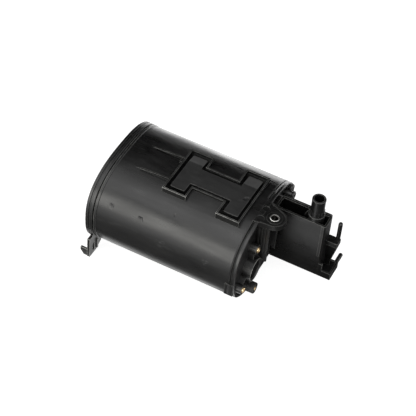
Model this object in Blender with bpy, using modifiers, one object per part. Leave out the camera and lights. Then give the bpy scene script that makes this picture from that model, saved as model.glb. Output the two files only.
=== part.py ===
"""Charcoal canister of a car's fuel vapour system.

The origin is the middle of the end cap's outer face. +X runs along the tank towards the
vent port and the filter housing, +Y is the tank's long cross axis, and +Z is up.
All sizes are in metres.
"""
from math import acos, atan2, cos, hypot, pi, sin

import bmesh
import bpy
from mathutils import Matrix, Vector

# Clearances
SEAT_GAP = 0.0003            # between two pieces that seat on each other
SINK = 0.001                 # how far a boss or rib reaches into what carries it
OVERCUT = 0.002              # how far a cutter runs past the face it leaves through

# Oval section of the tank
TANK_HALF_WIDTH = 0.0750     # along Y
TANK_HALF_HEIGHT = 0.0540    # along Z
OVAL_POWER = 2.55            # 2 is an ellipse, more is squarer
OVAL_POINTS = 64
TANK_WALL = 0.0030

# End cap
CAP_DEPTH = 0.0090           # along X
CAP_LIP = 0.0010             # how far the cap stands out past the tank
CAP_PANEL = 0.0025           # thickness of its end panel
CAP_RECESS = 0.0012          # depth of the recess in its outer face
CAP_RIM = 0.0050             # width of the rim round that recess
CAP_RIB = 0.0022             # width of the stiffening ribs in the recess
CAP_HUB_RADIUS = 0.0090      # gate hub in the middle of the outer face
CAP_GROOVE = 0.0010          # depth of the shallow groove round the rim
RIDGE_WIDTH = 0.0026
EDGE_BREAK = 0.0006
SMOOTH_ANGLE = 0.6           # radians; edges sharper than this are shaded sharp

# Tank shell, measured from its open end at the cap
TANK_LENGTH = 0.1780
WELD_NECK_LENGTH = 0.0012
WELD_NECK_DEPTH = 0.0010
WELD_RIDGE = 0.0008          # how far the weld ridge stands out past the body
END_BAND_LENGTH = 0.0048     # the band round the port end
END_GROOVE_LENGTH = 0.0012
END_GROOVE_DEPTH = 0.0011
END_RIM = 0.0030             # width of the rim round the end face
END_RIM_HEIGHT = 0.0020
END_WALL = 0.0026

# Chambers
PARTITION_Y = -0.0050
PARTITION_THICKNESS = 0.0022
PARTITION_SETBACK = 0.0190   # from the tank's open end to the partition
STANDOFF_HEIGHT = 0.0030     # ribs that hold the fleece off the end wall
STANDOFF_WIDTH = 0.0020
STANDOFF_Z = 0.0240
PORT_FLEECE = 0.0030
CAP_FLEECE = 0.0040
PLATE_THICKNESS = 0.0024
PLATE_COLLAR_HEIGHT = 0.0020
SLOT_WIDTH = 0.0040
SLOT_PITCH = 0.0090
SLOT_MARGIN = 0.0050
SLOT_BAR = 0.0040            # bar left across the middle of each slot

# Springs behind the plates
SPRING_RADIUS = 0.0110       # to the wire's centre
SPRING_WIRE = 0.0016
SPRING_LENGTH = 0.0250
SPRING_TURNS = 4.5
SPRING_STEPS = 14            # points on each turn
SPRING_CLOSED_TURNS = 0.5    # at each end
SPRING_CLOSED_PITCH = 1.1    # rise of a closed turn, in wire thicknesses
VAPOUR_SPRING_Y = 0.0320
VENT_SPRING_Y = -0.0370
SPRING_SEAT_HEIGHT = 0.0040

# Raised panel on the tank's top, in the shape of an H
PANEL_Y = -0.0023            # its middle line
PANEL_START = 0.0743         # along X
PANEL_LENGTH = 0.0962
PANEL_LEFT_LEG = 0.0290      # width along X
PANEL_RIGHT_LEG = 0.0285
PANEL_LEFT_HALF = 0.0350     # half length along Y
PANEL_RIGHT_HALF = 0.0390
PANEL_BAR_HALF = 0.0185
PANEL_RISE = 0.0026          # wall top above the tank's crown
PANEL_RECESS = 0.0016        # floor below the wall top
PANEL_WALL = 0.0018
PANEL_SLOPE_START = 0.0170   # where the floor starts to fall away, from the middle line
PANEL_SLOPE_DROP = 0.0032
RUNNER_LENGTH = 0.0415       # tapered ribs that run from the panel to the cap end
RUNNER_WIDTH = 0.0020
RUNNER_SINK = 0.0025
LATCH_BLOCK = (0.0030, 0.0055)
LATCH_BLOCK_Y = 0.0115

# Mounting tab on the port end
TAB_DROP = 0.0006            # top of the tab below the tank's crown
TAB_THICKNESS = 0.0058
TAB_REACH = 0.0125           # bolt axis past the end rim
TAB_Y = -0.0121
TAB_RADIUS = 0.0132
TAB_ROOT = 0.0065            # how far the tab runs back over the tank
TAB_NEAR_ROOT = 0.0148       # half widths of the root, from the bolt's line
TAB_FAR_ROOT = 0.0225
TAB_LIP = 0.0016
TAB_LIP_HEIGHT = 0.0009
TAB_PAD_RADIUS = 0.0090      # raised ring round the bushing
TAB_PAD_HEIGHT = 0.0005
EJECTOR_MARKS = {            # X from the end rim, Y from the bolt's line, radius
    "near": (-0.0010, -0.0080, 0.0044),
    "far": (-0.0014, 0.0078, 0.0040),
}
EJECTOR_MARK_DEPTH = 0.0004
NUB_PLACE = (0.0033, 0.0171)  # X past the end rim, Y from the bolt's line
NUB_RADIUS = 0.0016
NUB_HEIGHT = 0.0020
WEB_THICKNESS = 0.0024       # webs under the tab
WEB_DEPTH = 0.0590
WEB_FOOT_RISE = 0.0140       # how far the webs' lower edge climbs towards the end face
WEB_SETBACK = 0.0006         # from the tab's edge
WEB_REACH = 0.0135
WEB_RIB = 0.0016
WEB_RIB_RISE = 0.0007
WEB_RIB_COUNT = 4
BUSHING_OUTER = 0.0053       # radius of the steel compression bushing
BUSHING_BORE = 0.00365
BUSHING_PROUD = 0.0004

# Vent valve port and its three screw bosses
PORT_Y = -0.0384
PORT_Z = -0.0078
PORT_OUTER = 0.0140
PORT_BORE = 0.0118
PORT_LENGTH = 0.0106         # past the end face
PORT_LEAD = 0.0012           # chamfer inside the mouth
BOSSES = {
    # name: (Y and Z from the port's axis, radius, length past the end face, insert's rise)
    "upper": (0.0034, 0.0285, 0.0058, 0.0088, 0.0014),
    "lower": (0.0008, -0.0316, 0.0063, 0.0127, -0.0004),
    "side": (-0.0264, -0.0089, 0.0053, 0.0086, 0.0014),
}
BOSS_WEB = 0.0020
BOSS_WEB_HEIGHT = 0.0060
INSERT_RADIUS = 0.0033
INSERT_BORE = 0.0021
INSERT_LENGTH = 0.0080
CORNER_PAD_LENGTH = 0.0110   # pad on the near side of the port end
CORNER_PAD_HEIGHT = 0.0170
CORNER_PAD_BOTTOM = -0.0212
RIM_RELIEF = 0.0024          # how far the rim is cut back under the far side
RIM_RELIEF_Y = -0.0330
RIM_RELIEF_TOP = -0.0300

# Hose nipples on the far side of the end face
HOSE_NIPPLES = {
    # name: (Y, Z, length past the end face)
    "vapour": (0.0575, 0.0325, 0.0060),
    "purge": (0.0472, 0.0335, 0.0125),
}
HOSE_NIPPLE_RADIUS = 0.0045
HOSE_NIPPLE_BEAD = 0.0056
HOSE_NIPPLE_LEAD = 0.0010     # chamfer of the bead
HOSE_NIPPLE_BORE = 0.0027

# Filter housing
HOUSING_STANDOFF = 0.0045    # thickness of the pad that it is welded to
HOUSING_PAD_INSET = 0.0008   # of that pad's edge from the housing's
HOUSING_Y = 0.0115           # near face
HOUSING_DEPTH = 0.0194       # along Y, without the cover
HOUSING_LENGTH = 0.0610
HOUSING_TOP = 0.0450
HOUSING_BOTTOM = -0.0340
HOUSING_WALL = 0.0024
HOUSING_CORNER = 0.0015
TOP_TRAY_DEPTH = 0.0230
END_FLANGE_WIDTH = 0.0032
END_FLANGE_RISE = 0.0010
END_FLANGE_BOTTOM = -0.0030
COVER_THICKNESS = 0.0022
COVER_LIP = 0.0020           # how far the cover's lip reaches into the housing
COVER_RIB = 0.0020
COVER_RIB_COUNT = 3
FOAM_LENGTH = 0.0300
FOAM_SETBACK = 0.0050        # from the housing's tank-side wall to the foam's holding rib
FOAM_RIB = 0.0016
FOAM_RIB_REACH = 0.0040
PASSAGE_RADIUS = 0.0045
PASSAGE_Z = 0.0080
SEAL_WIRE = 0.0009            # radius
SEAL_SETBACK = 0.0010        # from the passage to the seal's groove

# Air spigot on the housing's top
SPIGOT_X = 0.0452            # from the housing's tank side
SPIGOT_OUTER = 0.0079
SPIGOT_BORE = 0.0059
SPIGOT_TOP = 0.0290          # above the housing's top
SPIGOT_NECK = 0.0077         # radius below the bead
SPIGOT_BEAD_HEIGHT = 0.0030
SPIGOT_SHOULDER = 0.0130     # height of the shoulder above the housing's top
SPIGOT_COLLAR = 0.0092
SPIGOT_COLLAR_TOP = 0.0055
SPIGOT_GUSSET = 0.0020
SPIGOT_GUSSET_FOOT = 0.0040  # past the collar

# Carrier on the housing's far end: tray, step, pad, web and two small nipples
CARRIER_DEPTH = 0.0225       # along Y from the housing's near face
TRAY_REACH = 0.0150
TRAY_LIP = 0.0094
TRAY_WALL = 0.0022
TRAY_STEP_REACH = 0.0038
TRAY_STEP_HEIGHT = 0.0190
PAD_REACH = 0.0130
PAD_WIDTH = 0.0105
PAD_TOP = 0.0127
PAD_THICKNESS = 0.0062
CARRIER_WEB_FOOT = 0.0062    # reach of the web's sloped edge where it meets the tray
CARRIER_WEB_SHOULDER = 0.0030  # below the pad's underside, where the slope starts
SMALL_NIPPLE_RADIUS = 0.0025
UPPER_NIPPLE_LENGTH = 0.0270
LOWER_NIPPLE_LENGTH = 0.0148
SMALL_NIPPLE_BORE = 0.0012

# Flagged leg under the cap
LEG_Y = -0.0670              # its middle
LEG_WIDTH = 0.0170
LEG_START = 0.0030           # from the cap's outer face
LEG_THICKNESS = 0.0035
LEG_BOTTOM = -0.0615
LEG_SHOULDER = 0.0290        # above the foot, where the leg narrows
LEG_NECK = 0.0070            # how much it narrows on its near side
LEG_SLOT_WIDTH = 0.0040
LEG_SLOT_HEIGHT = 0.0120
LEG_SLOT_RISE = 0.0045       # above the foot
FLAG_REACH = 0.0090          # from the leg, past the cap's outer face
FLAG_HEIGHT = 0.0108
FLAG_THICKNESS = 0.0026
FLAG_CHAMFER = (0.0045, 0.0062)
LEG_RIB = 0.0024             # rib on the leg's far edge
LEG_RIB_RISE = 0.0016
LEG_RIB_FOOT = 0.0030        # above the leg's foot
LEG_RIB_HEIGHT = 0.0145
GUSSET_REACH = 0.0095
GUSSET_FOOT_RISE = 0.0045    # how far its lower edge climbs
GUSSET_THICKNESS = 0.0026

# Places worked out from the sizes above
CAP_HALF_WIDTH = TANK_HALF_WIDTH + CAP_LIP
CAP_HALF_HEIGHT = TANK_HALF_HEIGHT + CAP_LIP
INNER_HALF_WIDTH = TANK_HALF_WIDTH - TANK_WALL
INNER_HALF_HEIGHT = TANK_HALF_HEIGHT - TANK_WALL
TANK_START = CAP_DEPTH + SEAT_GAP
RIM_FACE = TANK_START + TANK_LENGTH
END_FACE = RIM_FACE - END_RIM_HEIGHT
END_WALL_INSIDE = END_FACE - END_WALL
PARTITION_START = TANK_START + PARTITION_SETBACK
CAP_INSIDE = CAP_RECESS + CAP_PANEL
PLATE_START = CAP_INSIDE + SPRING_LENGTH + 2 * SEAT_GAP
CAP_FLEECE_START = PLATE_START + PLATE_THICKNESS + SEAT_GAP
BED_START = CAP_FLEECE_START + CAP_FLEECE + SEAT_GAP
PORT_FLEECE_START = END_WALL_INSIDE - STANDOFF_HEIGHT - SEAT_GAP - PORT_FLEECE
BED_LENGTH = PORT_FLEECE_START - SEAT_GAP - BED_START
SPRING_SEAT_RADIUS = SPRING_RADIUS - SPRING_WIRE / 2 - SEAT_GAP
PANEL_TOP = TANK_HALF_HEIGHT + PANEL_RISE
PANEL_FLOOR = PANEL_TOP - PANEL_RECESS
TAB_TOP = TANK_HALF_HEIGHT - TAB_DROP
TAB_X = RIM_FACE + TAB_REACH
PORT_MOUTH = END_FACE + PORT_LENGTH
HOUSING_START = END_FACE + HOUSING_STANDOFF + SEAT_GAP
HOUSING_END = HOUSING_START + HOUSING_LENGTH
HOUSING_BACK = HOUSING_Y + HOUSING_DEPTH
HOUSING_MIDDLE = HOUSING_Y + HOUSING_DEPTH / 2
TRAY_FLOOR = HOUSING_TOP - TOP_TRAY_DEPTH
SPIGOT_AXIS_X = HOUSING_START + SPIGOT_X
COVER_BACK = HOUSING_BACK + SEAT_GAP + COVER_THICKNESS
COVER_END = HOUSING_END - SINK - SEAT_GAP
CARRIER_BACK = HOUSING_Y + CARRIER_DEPTH

MATERIALS = {
    # name: (base colour, roughness, metallic)
    "black_nylon": ((0.018, 0.018, 0.019, 1.0), 0.42, 0.0),
    "black_nylon_cap": ((0.020, 0.020, 0.021, 1.0), 0.40, 0.0),
    "black_nylon_housing": ((0.014, 0.014, 0.015, 1.0), 0.45, 0.0),
    "plated_steel": ((0.62, 0.62, 0.60, 1.0), 0.28, 1.0),
    "brass": ((0.78, 0.57, 0.27, 1.0), 0.30, 1.0),
    "spring_steel": ((0.40, 0.40, 0.41, 1.0), 0.35, 1.0),
    "charcoal": ((0.010, 0.010, 0.010, 1.0), 0.95, 0.0),
    "white_fleece": ((0.72, 0.72, 0.68, 1.0), 0.95, 0.0),
    "grey_plate": ((0.08, 0.08, 0.085, 1.0), 0.50, 0.0),
    "dark_foam": ((0.05, 0.05, 0.05, 1.0), 0.95, 0.0),
    "seal_rubber": ((0.012, 0.012, 0.012, 1.0), 0.70, 0.0),
}


def clear_scene():
    for item in list(bpy.data.objects):
        bpy.data.objects.remove(item, do_unlink=True)


def new_collection(name):
    group = bpy.data.collections.new(name)
    bpy.context.scene.collection.children.link(group)
    return group


def make_material(name):
    colour, roughness, metallic = MATERIALS[name]
    material = bpy.data.materials.new(name)
    material.use_nodes = True
    shader = material.node_tree.nodes["Principled BSDF"]
    shader.inputs["Base Color"].default_value = colour
    shader.inputs["Roughness"].default_value = roughness
    shader.inputs["Metallic"].default_value = metallic
    return material


def add_object(name, mesh, group):
    item = bpy.data.objects.new(name, mesh)
    group.objects.link(item)
    return item


def as_tool(item):
    """Marks an object that only shapes another one."""
    item.hide_render = True
    item.display_type = "WIRE"
    return item


def mesh_from_bmesh(name, shape):
    """Makes a mesh of a closed body, with its faces pointing out."""
    bmesh.ops.recalc_face_normals(shape, faces=shape.faces)
    if shape.calc_volume(signed=True) < 0:
        bmesh.ops.reverse_faces(shape, faces=shape.faces)
    mesh = bpy.data.meshes.new(name)
    shape.to_mesh(mesh)
    shape.free()
    return mesh


def box(name, low, high):
    """A box between two corners, as a tool."""
    low = Vector(low)
    high = Vector(high)
    shape = bmesh.new()
    size = high - low
    place = Matrix.Translation((low + high) / 2) @ Matrix.Diagonal(size).to_4x4()
    bmesh.ops.create_cube(shape, size=1.0, matrix=place)
    return as_tool(add_object(name, mesh_from_bmesh(name, shape), TOOLS))


def rod(name, start, end, radius, end_radius=None, sides=32):
    """A cylinder or cone between two points, as a tool."""
    start = Vector(start)
    end = Vector(end)
    along = end - start
    turn = along.to_track_quat("Z", "Y").to_matrix().to_4x4()
    place = Matrix.Translation((start + end) / 2) @ turn
    shape = bmesh.new()
    bmesh.ops.create_cone(
        shape, cap_ends=True, segments=sides, radius1=radius,
        radius2=radius if end_radius is None else end_radius,
        depth=along.length, matrix=place)
    return as_tool(add_object(name, mesh_from_bmesh(name, shape), TOOLS))


def outline_solid(name, points, thickness, place):
    """A flat outline given a thickness along its own +Z, as a tool.

    The outline is a filled 2D curve, made a mesh so that Booleans can use it.
    """
    curve = bpy.data.curves.new(name, "CURVE")
    curve.dimensions = "2D"
    curve.fill_mode = "BOTH"
    curve.extrude = thickness / 2
    spline = curve.splines.new("POLY")
    spline.points.add(len(points) - 1)
    for point, (u, v) in zip(spline.points, points):
        point.co = (u, v, 0.0, 1.0)
    spline.use_cyclic_u = True
    carrier = add_object(name + "_curve", curve, TOOLS)
    carrier.matrix_world = place @ Matrix.Translation((0, 0, thickness / 2))
    bpy.context.view_layer.update()
    evaluated = carrier.evaluated_get(bpy.context.evaluated_depsgraph_get())
    shape = bmesh.new()
    mesh = bpy.data.meshes.new_from_object(evaluated)
    shape.from_mesh(mesh)
    bmesh.ops.remove_doubles(shape, verts=shape.verts, dist=0.000001)
    caps = [face for face in shape.faces if abs(face.normal.z) > 0.9]
    bmesh.ops.dissolve_faces(shape, faces=caps)
    shape.transform(carrier.matrix_world)
    bpy.data.objects.remove(carrier, do_unlink=True)
    bpy.data.meshes.remove(mesh)
    return as_tool(add_object(name, mesh_from_bmesh(name, shape), TOOLS))


# Outlines drawn in (Y, Z) are set square to X, and so on for the other planes.
FACING_X = Matrix(((0, 0, 1, 0), (1, 0, 0, 0), (0, 1, 0, 0), (0, 0, 0, 1)))
FACING_Y = Matrix(((1, 0, 0, 0), (0, 0, -1, 0), (0, 1, 0, 0), (0, 0, 0, 1)))
FACING_Z = Matrix.Identity(4)


def slab_x(name, points, start, end):
    """An outline of (Y, Z) points between two places along X."""
    return outline_solid(name, points, end - start, Matrix.Translation((start, 0, 0)) @ FACING_X)


def slab_y(name, points, start, end):
    """An outline of (X, Z) points between two places along Y."""
    return outline_solid(name, points, end - start, Matrix.Translation((0, end, 0)) @ FACING_Y)


def slab_z(name, points, start, end):
    """An outline of (X, Y) points between two places along Z."""
    return outline_solid(name, points, end - start, Matrix.Translation((0, 0, start)) @ FACING_Z)


def oval_height(y, half_width, half_height):
    """Height of the oval above its middle at a place across it."""
    share = min(abs(y) / half_width, 1.0)
    return half_height * (1 - share ** OVAL_POWER) ** (1 / OVAL_POWER)


def oval_points(half_width, half_height):
    """Points round the tank's oval section, as (Y, Z)."""
    points = []
    for step in range(OVAL_POINTS):
        angle = 2 * pi * step / OVAL_POINTS
        across = abs(cos(angle)) ** (2 / OVAL_POWER)
        up = abs(sin(angle)) ** (2 / OVAL_POWER)
        y = half_width * (across if cos(angle) >= 0 else -across)
        z = half_height * (up if sin(angle) >= 0 else -up)
        points.append((y, z))
    return points


def oval_loft(name, stations, group):
    """A closed body of oval rings; each station is (X, half width, half height)."""
    shape = bmesh.new()
    rings = []
    for x, half_width, half_height in stations:
        ring = [shape.verts.new((x, y, z)) for y, z in oval_points(half_width, half_height)]
        rings.append(ring)
    for near, far in zip(rings, rings[1:]):
        for step in range(OVAL_POINTS):
            after = (step + 1) % OVAL_POINTS
            shape.faces.new((near[step], near[after], far[after], far[step]))
    shape.faces.new(rings[0])
    shape.faces.new(rings[-1])
    return add_object(name, mesh_from_bmesh(name, shape), group)


def chamber_outline(side, clearance):
    """One side of the partition, as (Y, Z) points; side is 1 for +Y and -1 for -Y."""
    half_width = INNER_HALF_WIDTH - clearance
    half_height = INNER_HALF_HEIGHT - clearance
    edge = PARTITION_Y + side * (PARTITION_THICKNESS / 2 + clearance)
    corner = oval_height(edge, half_width, half_height)
    kept = [(y, z) for y, z in oval_points(half_width, half_height) if side * (y - edge) > SINK]
    kept.sort(key=lambda point: atan2(point[1], side * (point[0] - edge)), reverse=True)
    return [(edge, corner)] + kept + [(edge, -corner)]


def round_corners(points, radius, steps=4):
    """Rounds every corner of a closed outline."""
    rounded = []
    count = len(points)
    for index in range(count):
        corner = Vector(points[index])
        before = (Vector(points[index - 1]) - corner).normalized()
        after = (Vector(points[(index + 1) % count]) - corner).normalized()
        half = before.angle(after) / 2
        reach = radius / sin(half) * cos(half)
        middle = corner + (before + after).normalized() * (radius / sin(half))
        first = corner + before * reach - middle
        last = corner + after * reach - middle
        for step in range(steps + 1):
            blend = first.lerp(last, step / steps)
            rounded.append(tuple(middle + blend.normalized() * radius))
    return rounded


def combine(item, tools, operation):
    """Adds one Boolean modifier that takes all the tools at once."""
    group = bpy.data.collections.new(f"{item.name}_{operation.lower()}_{len(item.modifiers)}")
    TOOLS.children.link(group)
    for tool in tools:
        TOOLS.objects.unlink(tool)
        group.objects.link(tool)
    modifier = item.modifiers.new(group.name, "BOOLEAN")
    modifier.operand_type = "COLLECTION"
    modifier.collection = group
    modifier.operation = operation
    modifier.solver = "EXACT"


def join(item, *tools):
    combine(item, tools, "UNION")


def cut(item, *tools):
    combine(item, tools, "DIFFERENCE")


def turned(name, profile, origin, axis, group, steps=32):
    """A turned body; the profile is (radius, height) pairs from top to bottom."""
    mesh = bpy.data.meshes.new(name)
    points = [(radius, 0.0, height) for radius, height in profile]
    edges = [(index, index + 1) for index in range(len(points) - 1)]
    closed = profile[0][0] > 0
    if closed:
        edges.append((len(points) - 1, 0))
    mesh.from_pydata(points, edges, [])
    item = add_object(name, mesh, group)
    item.location = origin
    item.rotation_euler = Vector(axis).to_track_quat("Z", "Y").to_euler()
    screw = item.modifiers.new("turn", "SCREW")
    screw.axis = "Z"
    screw.steps = steps
    screw.render_steps = steps
    screw.use_merge_vertices = True
    screw.merge_threshold = 0.00001
    screw.use_smooth_shade = True
    return item


def strip(first, last, width):
    """The outline of a straight strip between two points."""
    first = Vector(first)
    last = Vector(last)
    aside = (last - first).orthogonal().normalized() * width / 2
    return [tuple(first + aside), tuple(first - aside), tuple(last - aside), tuple(last + aside)]


def finish(item, material_name):
    """Gives a piece its material, and a mesh smooth shading between its sharp edges."""
    item.data.materials.append(SHARED[material_name])
    if item.type == "MESH":
        item.data.shade_smooth()
        item.data.set_sharp_from_angle(angle=SMOOTH_ANGLE)


def spring_seat(name, y, start, end):
    """A round seat that centres a spring, between two places along X."""
    return rod(name, (start, y, 0), (end, y, 0), SPRING_SEAT_RADIUS)


def make_end_cap():
    """Moulded lid welded over the tank's open end, with the flagged leg on its rim."""
    ridge_side = (CAP_HALF_WIDTH, CAP_HALF_HEIGHT)
    groove_side = (CAP_HALF_WIDTH - CAP_GROOVE, CAP_HALF_HEIGHT - CAP_GROOVE)
    broken_side = (CAP_HALF_WIDTH - EDGE_BREAK, CAP_HALF_HEIGHT - EDGE_BREAK)
    cap = oval_loft("end_cap", [
        (0.0, *broken_side),
        (EDGE_BREAK, *ridge_side),
        (RIDGE_WIDTH + EDGE_BREAK, *ridge_side),
        (RIDGE_WIDTH + 2 * EDGE_BREAK, *groove_side),
        (CAP_DEPTH - RIDGE_WIDTH - 2 * EDGE_BREAK, *groove_side),
        (CAP_DEPTH - RIDGE_WIDTH - EDGE_BREAK, *ridge_side),
        (CAP_DEPTH - EDGE_BREAK, *ridge_side),
        (CAP_DEPTH, *broken_side),
    ], PARTS)
    join(cap, *leg_tools())
    hollow = slab_x("cap_hollow", oval_points(INNER_HALF_WIDTH, INNER_HALF_HEIGHT),
                    CAP_INSIDE, CAP_DEPTH + OVERCUT)
    recess = slab_x("cap_face_recess",
                    oval_points(CAP_HALF_WIDTH - CAP_RIM, CAP_HALF_HEIGHT - CAP_RIM),
                    -OVERCUT, CAP_RECESS)
    cut(cap, hollow, recess, *leg_cutters())
    join(cap, *cap_ribs(), rod("cap_hub", (0, 0, 0), (CAP_RECESS + SINK, 0, 0), CAP_HUB_RADIUS),
         spring_seat("cap_seat_vapour", VAPOUR_SPRING_Y, CAP_INSIDE - SINK, CAP_INSIDE + SPRING_SEAT_HEIGHT),
         spring_seat("cap_seat_vent", VENT_SPRING_Y, CAP_INSIDE - SINK, CAP_INSIDE + SPRING_SEAT_HEIGHT))
    finish(cap, "black_nylon_cap")


def cap_ribs():
    """One long and three short stiffening ribs in the cap's outer recess."""
    rib_face = SEAT_GAP
    back = CAP_RECESS + SINK
    reach_y = CAP_HALF_WIDTH - CAP_RIM + SINK
    ribs = [box("cap_rib_across", (rib_face, -reach_y, -CAP_RIB / 2), (back, reach_y, CAP_RIB / 2))]
    for index, place in enumerate((-CAP_HALF_WIDTH / 2, 0, CAP_HALF_WIDTH / 2)):
        edge = abs(place) + CAP_RIB / 2
        reach_z = oval_height(edge, CAP_HALF_WIDTH, CAP_HALF_HEIGHT) - CAP_RIM + SINK
        ribs.append(box(f"cap_rib_up_{index}", (rib_face, place - CAP_RIB / 2, -reach_z),
                        (back, place + CAP_RIB / 2, reach_z)))
    return ribs


def leg_top(y):
    """Height at which the leg is well inside the cap's rim."""
    return -oval_height(y, CAP_HALF_WIDTH, CAP_HALF_HEIGHT) / 2


def leg_tools():
    """A flat stem with a flag on its near edge, a rib on its far edge and a gusset to the rim."""
    near = LEG_START
    far = LEG_START + LEG_THICKNESS
    low_y = LEG_Y - LEG_WIDTH / 2
    high_y = LEG_Y + LEG_WIDTH / 2
    top = leg_top(LEG_Y)
    shoulder = LEG_BOTTOM + LEG_SHOULDER
    stem = slab_x("leg_stem", [
        (low_y, LEG_BOTTOM), (high_y, LEG_BOTTOM), (high_y, top),
        (low_y + LEG_NECK, top), (low_y + LEG_NECK, shoulder), (low_y, shoulder),
    ], near, far)
    tip = near - FLAG_REACH
    chamfer_x, chamfer_z = FLAG_CHAMFER
    foot = LEG_BOTTOM + EDGE_BREAK / 2
    flag = slab_y("leg_flag", [
        (near + SINK, foot), (tip + chamfer_x, foot), (tip, foot + chamfer_z),
        (tip, LEG_BOTTOM + FLAG_HEIGHT), (near + SINK, LEG_BOTTOM + FLAG_HEIGHT),
    ], low_y + EDGE_BREAK / 2, low_y + EDGE_BREAK / 2 + FLAG_THICKNESS)
    rib_edge = high_y - EDGE_BREAK / 2
    rib_foot = LEG_BOTTOM + LEG_RIB_FOOT
    rib = box("leg_rib", (far - SINK, rib_edge - LEG_RIB, rib_foot),
              (far + LEG_RIB_RISE, rib_edge, rib_foot + LEG_RIB_HEIGHT))
    root = high_y - SINK
    end = high_y + GUSSET_REACH
    rim_at_end = oval_height(end, CAP_HALF_WIDTH, CAP_HALF_HEIGHT) - SINK
    gusset = slab_x("leg_gusset", [
        (root, foot), (end, LEG_BOTTOM + GUSSET_FOOT_RISE), (end, -rim_at_end), (root, top),
    ], near + SINK / 2, near + SINK / 2 + GUSSET_THICKNESS)
    return stem, flag, rib, gusset


def leg_cutters():
    """The slot in the leg's stem."""
    base = LEG_BOTTOM + LEG_SLOT_RISE
    slot = box("leg_slot", (LEG_START - OVERCUT, LEG_Y - LEG_SLOT_WIDTH / 2, base),
               (LEG_START + LEG_THICKNESS + OVERCUT, LEG_Y + LEG_SLOT_WIDTH / 2, base + LEG_SLOT_HEIGHT))
    return (slot,)


def panel_outline(inset):
    """The H of the raised panel as (X, Y) points, drawn in by an inset."""
    start = PANEL_START + inset
    end = PANEL_START + PANEL_LENGTH - inset
    left = PANEL_START + PANEL_LEFT_LEG - inset
    right = PANEL_START + PANEL_LENGTH - PANEL_RIGHT_LEG + inset
    left_half = PANEL_LEFT_HALF - inset
    right_half = PANEL_RIGHT_HALF - inset
    bar_half = PANEL_BAR_HALF - inset
    upper = [(start, left_half), (left, left_half), (left, bar_half),
             (right, bar_half), (right, right_half), (end, right_half)]
    lower = [(x, -y) for x, y in reversed(upper)]
    return [(x, PANEL_Y + y) for x, y in upper + lower]


def panel_tools():
    """The raised H with its low wall, and the cutter for the floor inside the wall."""
    block = slab_z("panel_block", panel_outline(0), TANK_HALF_HEIGHT / 2, PANEL_TOP)
    slope_start = PANEL_Y + PANEL_SLOPE_START
    far = PANEL_Y + PANEL_RIGHT_HALF + OVERCUT
    floor = slab_x("panel_floor_form", [
        (PANEL_Y - PANEL_RIGHT_HALF - OVERCUT, 0), (far, 0),
        (far, PANEL_FLOOR - PANEL_SLOPE_DROP), (slope_start, PANEL_FLOOR),
        (PANEL_Y - PANEL_RIGHT_HALF - OVERCUT, PANEL_FLOOR),
    ], PANEL_START - OVERCUT, PANEL_START + PANEL_LENGTH + OVERCUT)
    space = slab_z("panel_space", panel_outline(PANEL_WALL),
                   PANEL_FLOOR - PANEL_SLOPE_DROP - SINK, PANEL_TOP + OVERCUT)
    cut(space, floor)
    return block, space


def runner_tools():
    """Two tapered ribs from the panel towards the cap, in line with the H's bar."""
    tools = []
    for name, side in (("far", 1), ("near", -1)):
        y = PANEL_Y + side * PANEL_BAR_HALF
        surface = oval_height(y, TANK_HALF_WIDTH, TANK_HALF_HEIGHT)
        tools.append(slab_y(f"runner_{name}", [
            (PANEL_START + SINK, PANEL_TOP), (PANEL_START - RUNNER_LENGTH, surface),
            (PANEL_START - RUNNER_LENGTH, surface - RUNNER_SINK / 2),
            (PANEL_START + SINK, surface - RUNNER_SINK),
        ], y - RUNNER_WIDTH / 2, y + RUNNER_WIDTH / 2))
    length, width = LATCH_BLOCK
    tools.append(box("panel_latch_block",
                     (PANEL_START - length, LATCH_BLOCK_Y - width / 2, TANK_HALF_HEIGHT - RUNNER_SINK),
                     (PANEL_START + SINK, LATCH_BLOCK_Y + width / 2, PANEL_TOP - EDGE_BREAK / 2)))
    return tools


def tab_edge(start, inset, side, half):
    """Where one straight edge of the tab leaves its round end, and where it ends along X.

    The edge is the tangent from the root's corner to the round end; side is 1 for +Y.
    """
    radius = TAB_RADIUS - inset
    root_x = RIM_FACE - TAB_ROOT - TAB_X
    root_y = half - inset
    turn = atan2(root_y, root_x) - acos(radius / hypot(root_x, root_y))
    touch_x = radius * cos(turn)
    touch_y = radius * sin(turn)
    share = (start - TAB_X - touch_x) / (root_x - touch_x)
    return side * turn, (start, TAB_Y + side * (touch_y + (root_y - touch_y) * share))


def tab_outline(start, inset):
    """A tongue that widens from its round end to its root, as (X, Y) points."""
    radius = TAB_RADIUS - inset
    first, near_root = tab_edge(start, inset, -1, TAB_NEAR_ROOT)
    last, far_root = tab_edge(start, inset, 1, TAB_FAR_ROOT)
    points = [near_root]
    turns = 20
    for step in range(turns + 1):
        angle = first + (last - first) * step / turns
        points.append((TAB_X + radius * cos(angle), TAB_Y + radius * sin(angle)))
    points.append(far_root)
    return points


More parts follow.
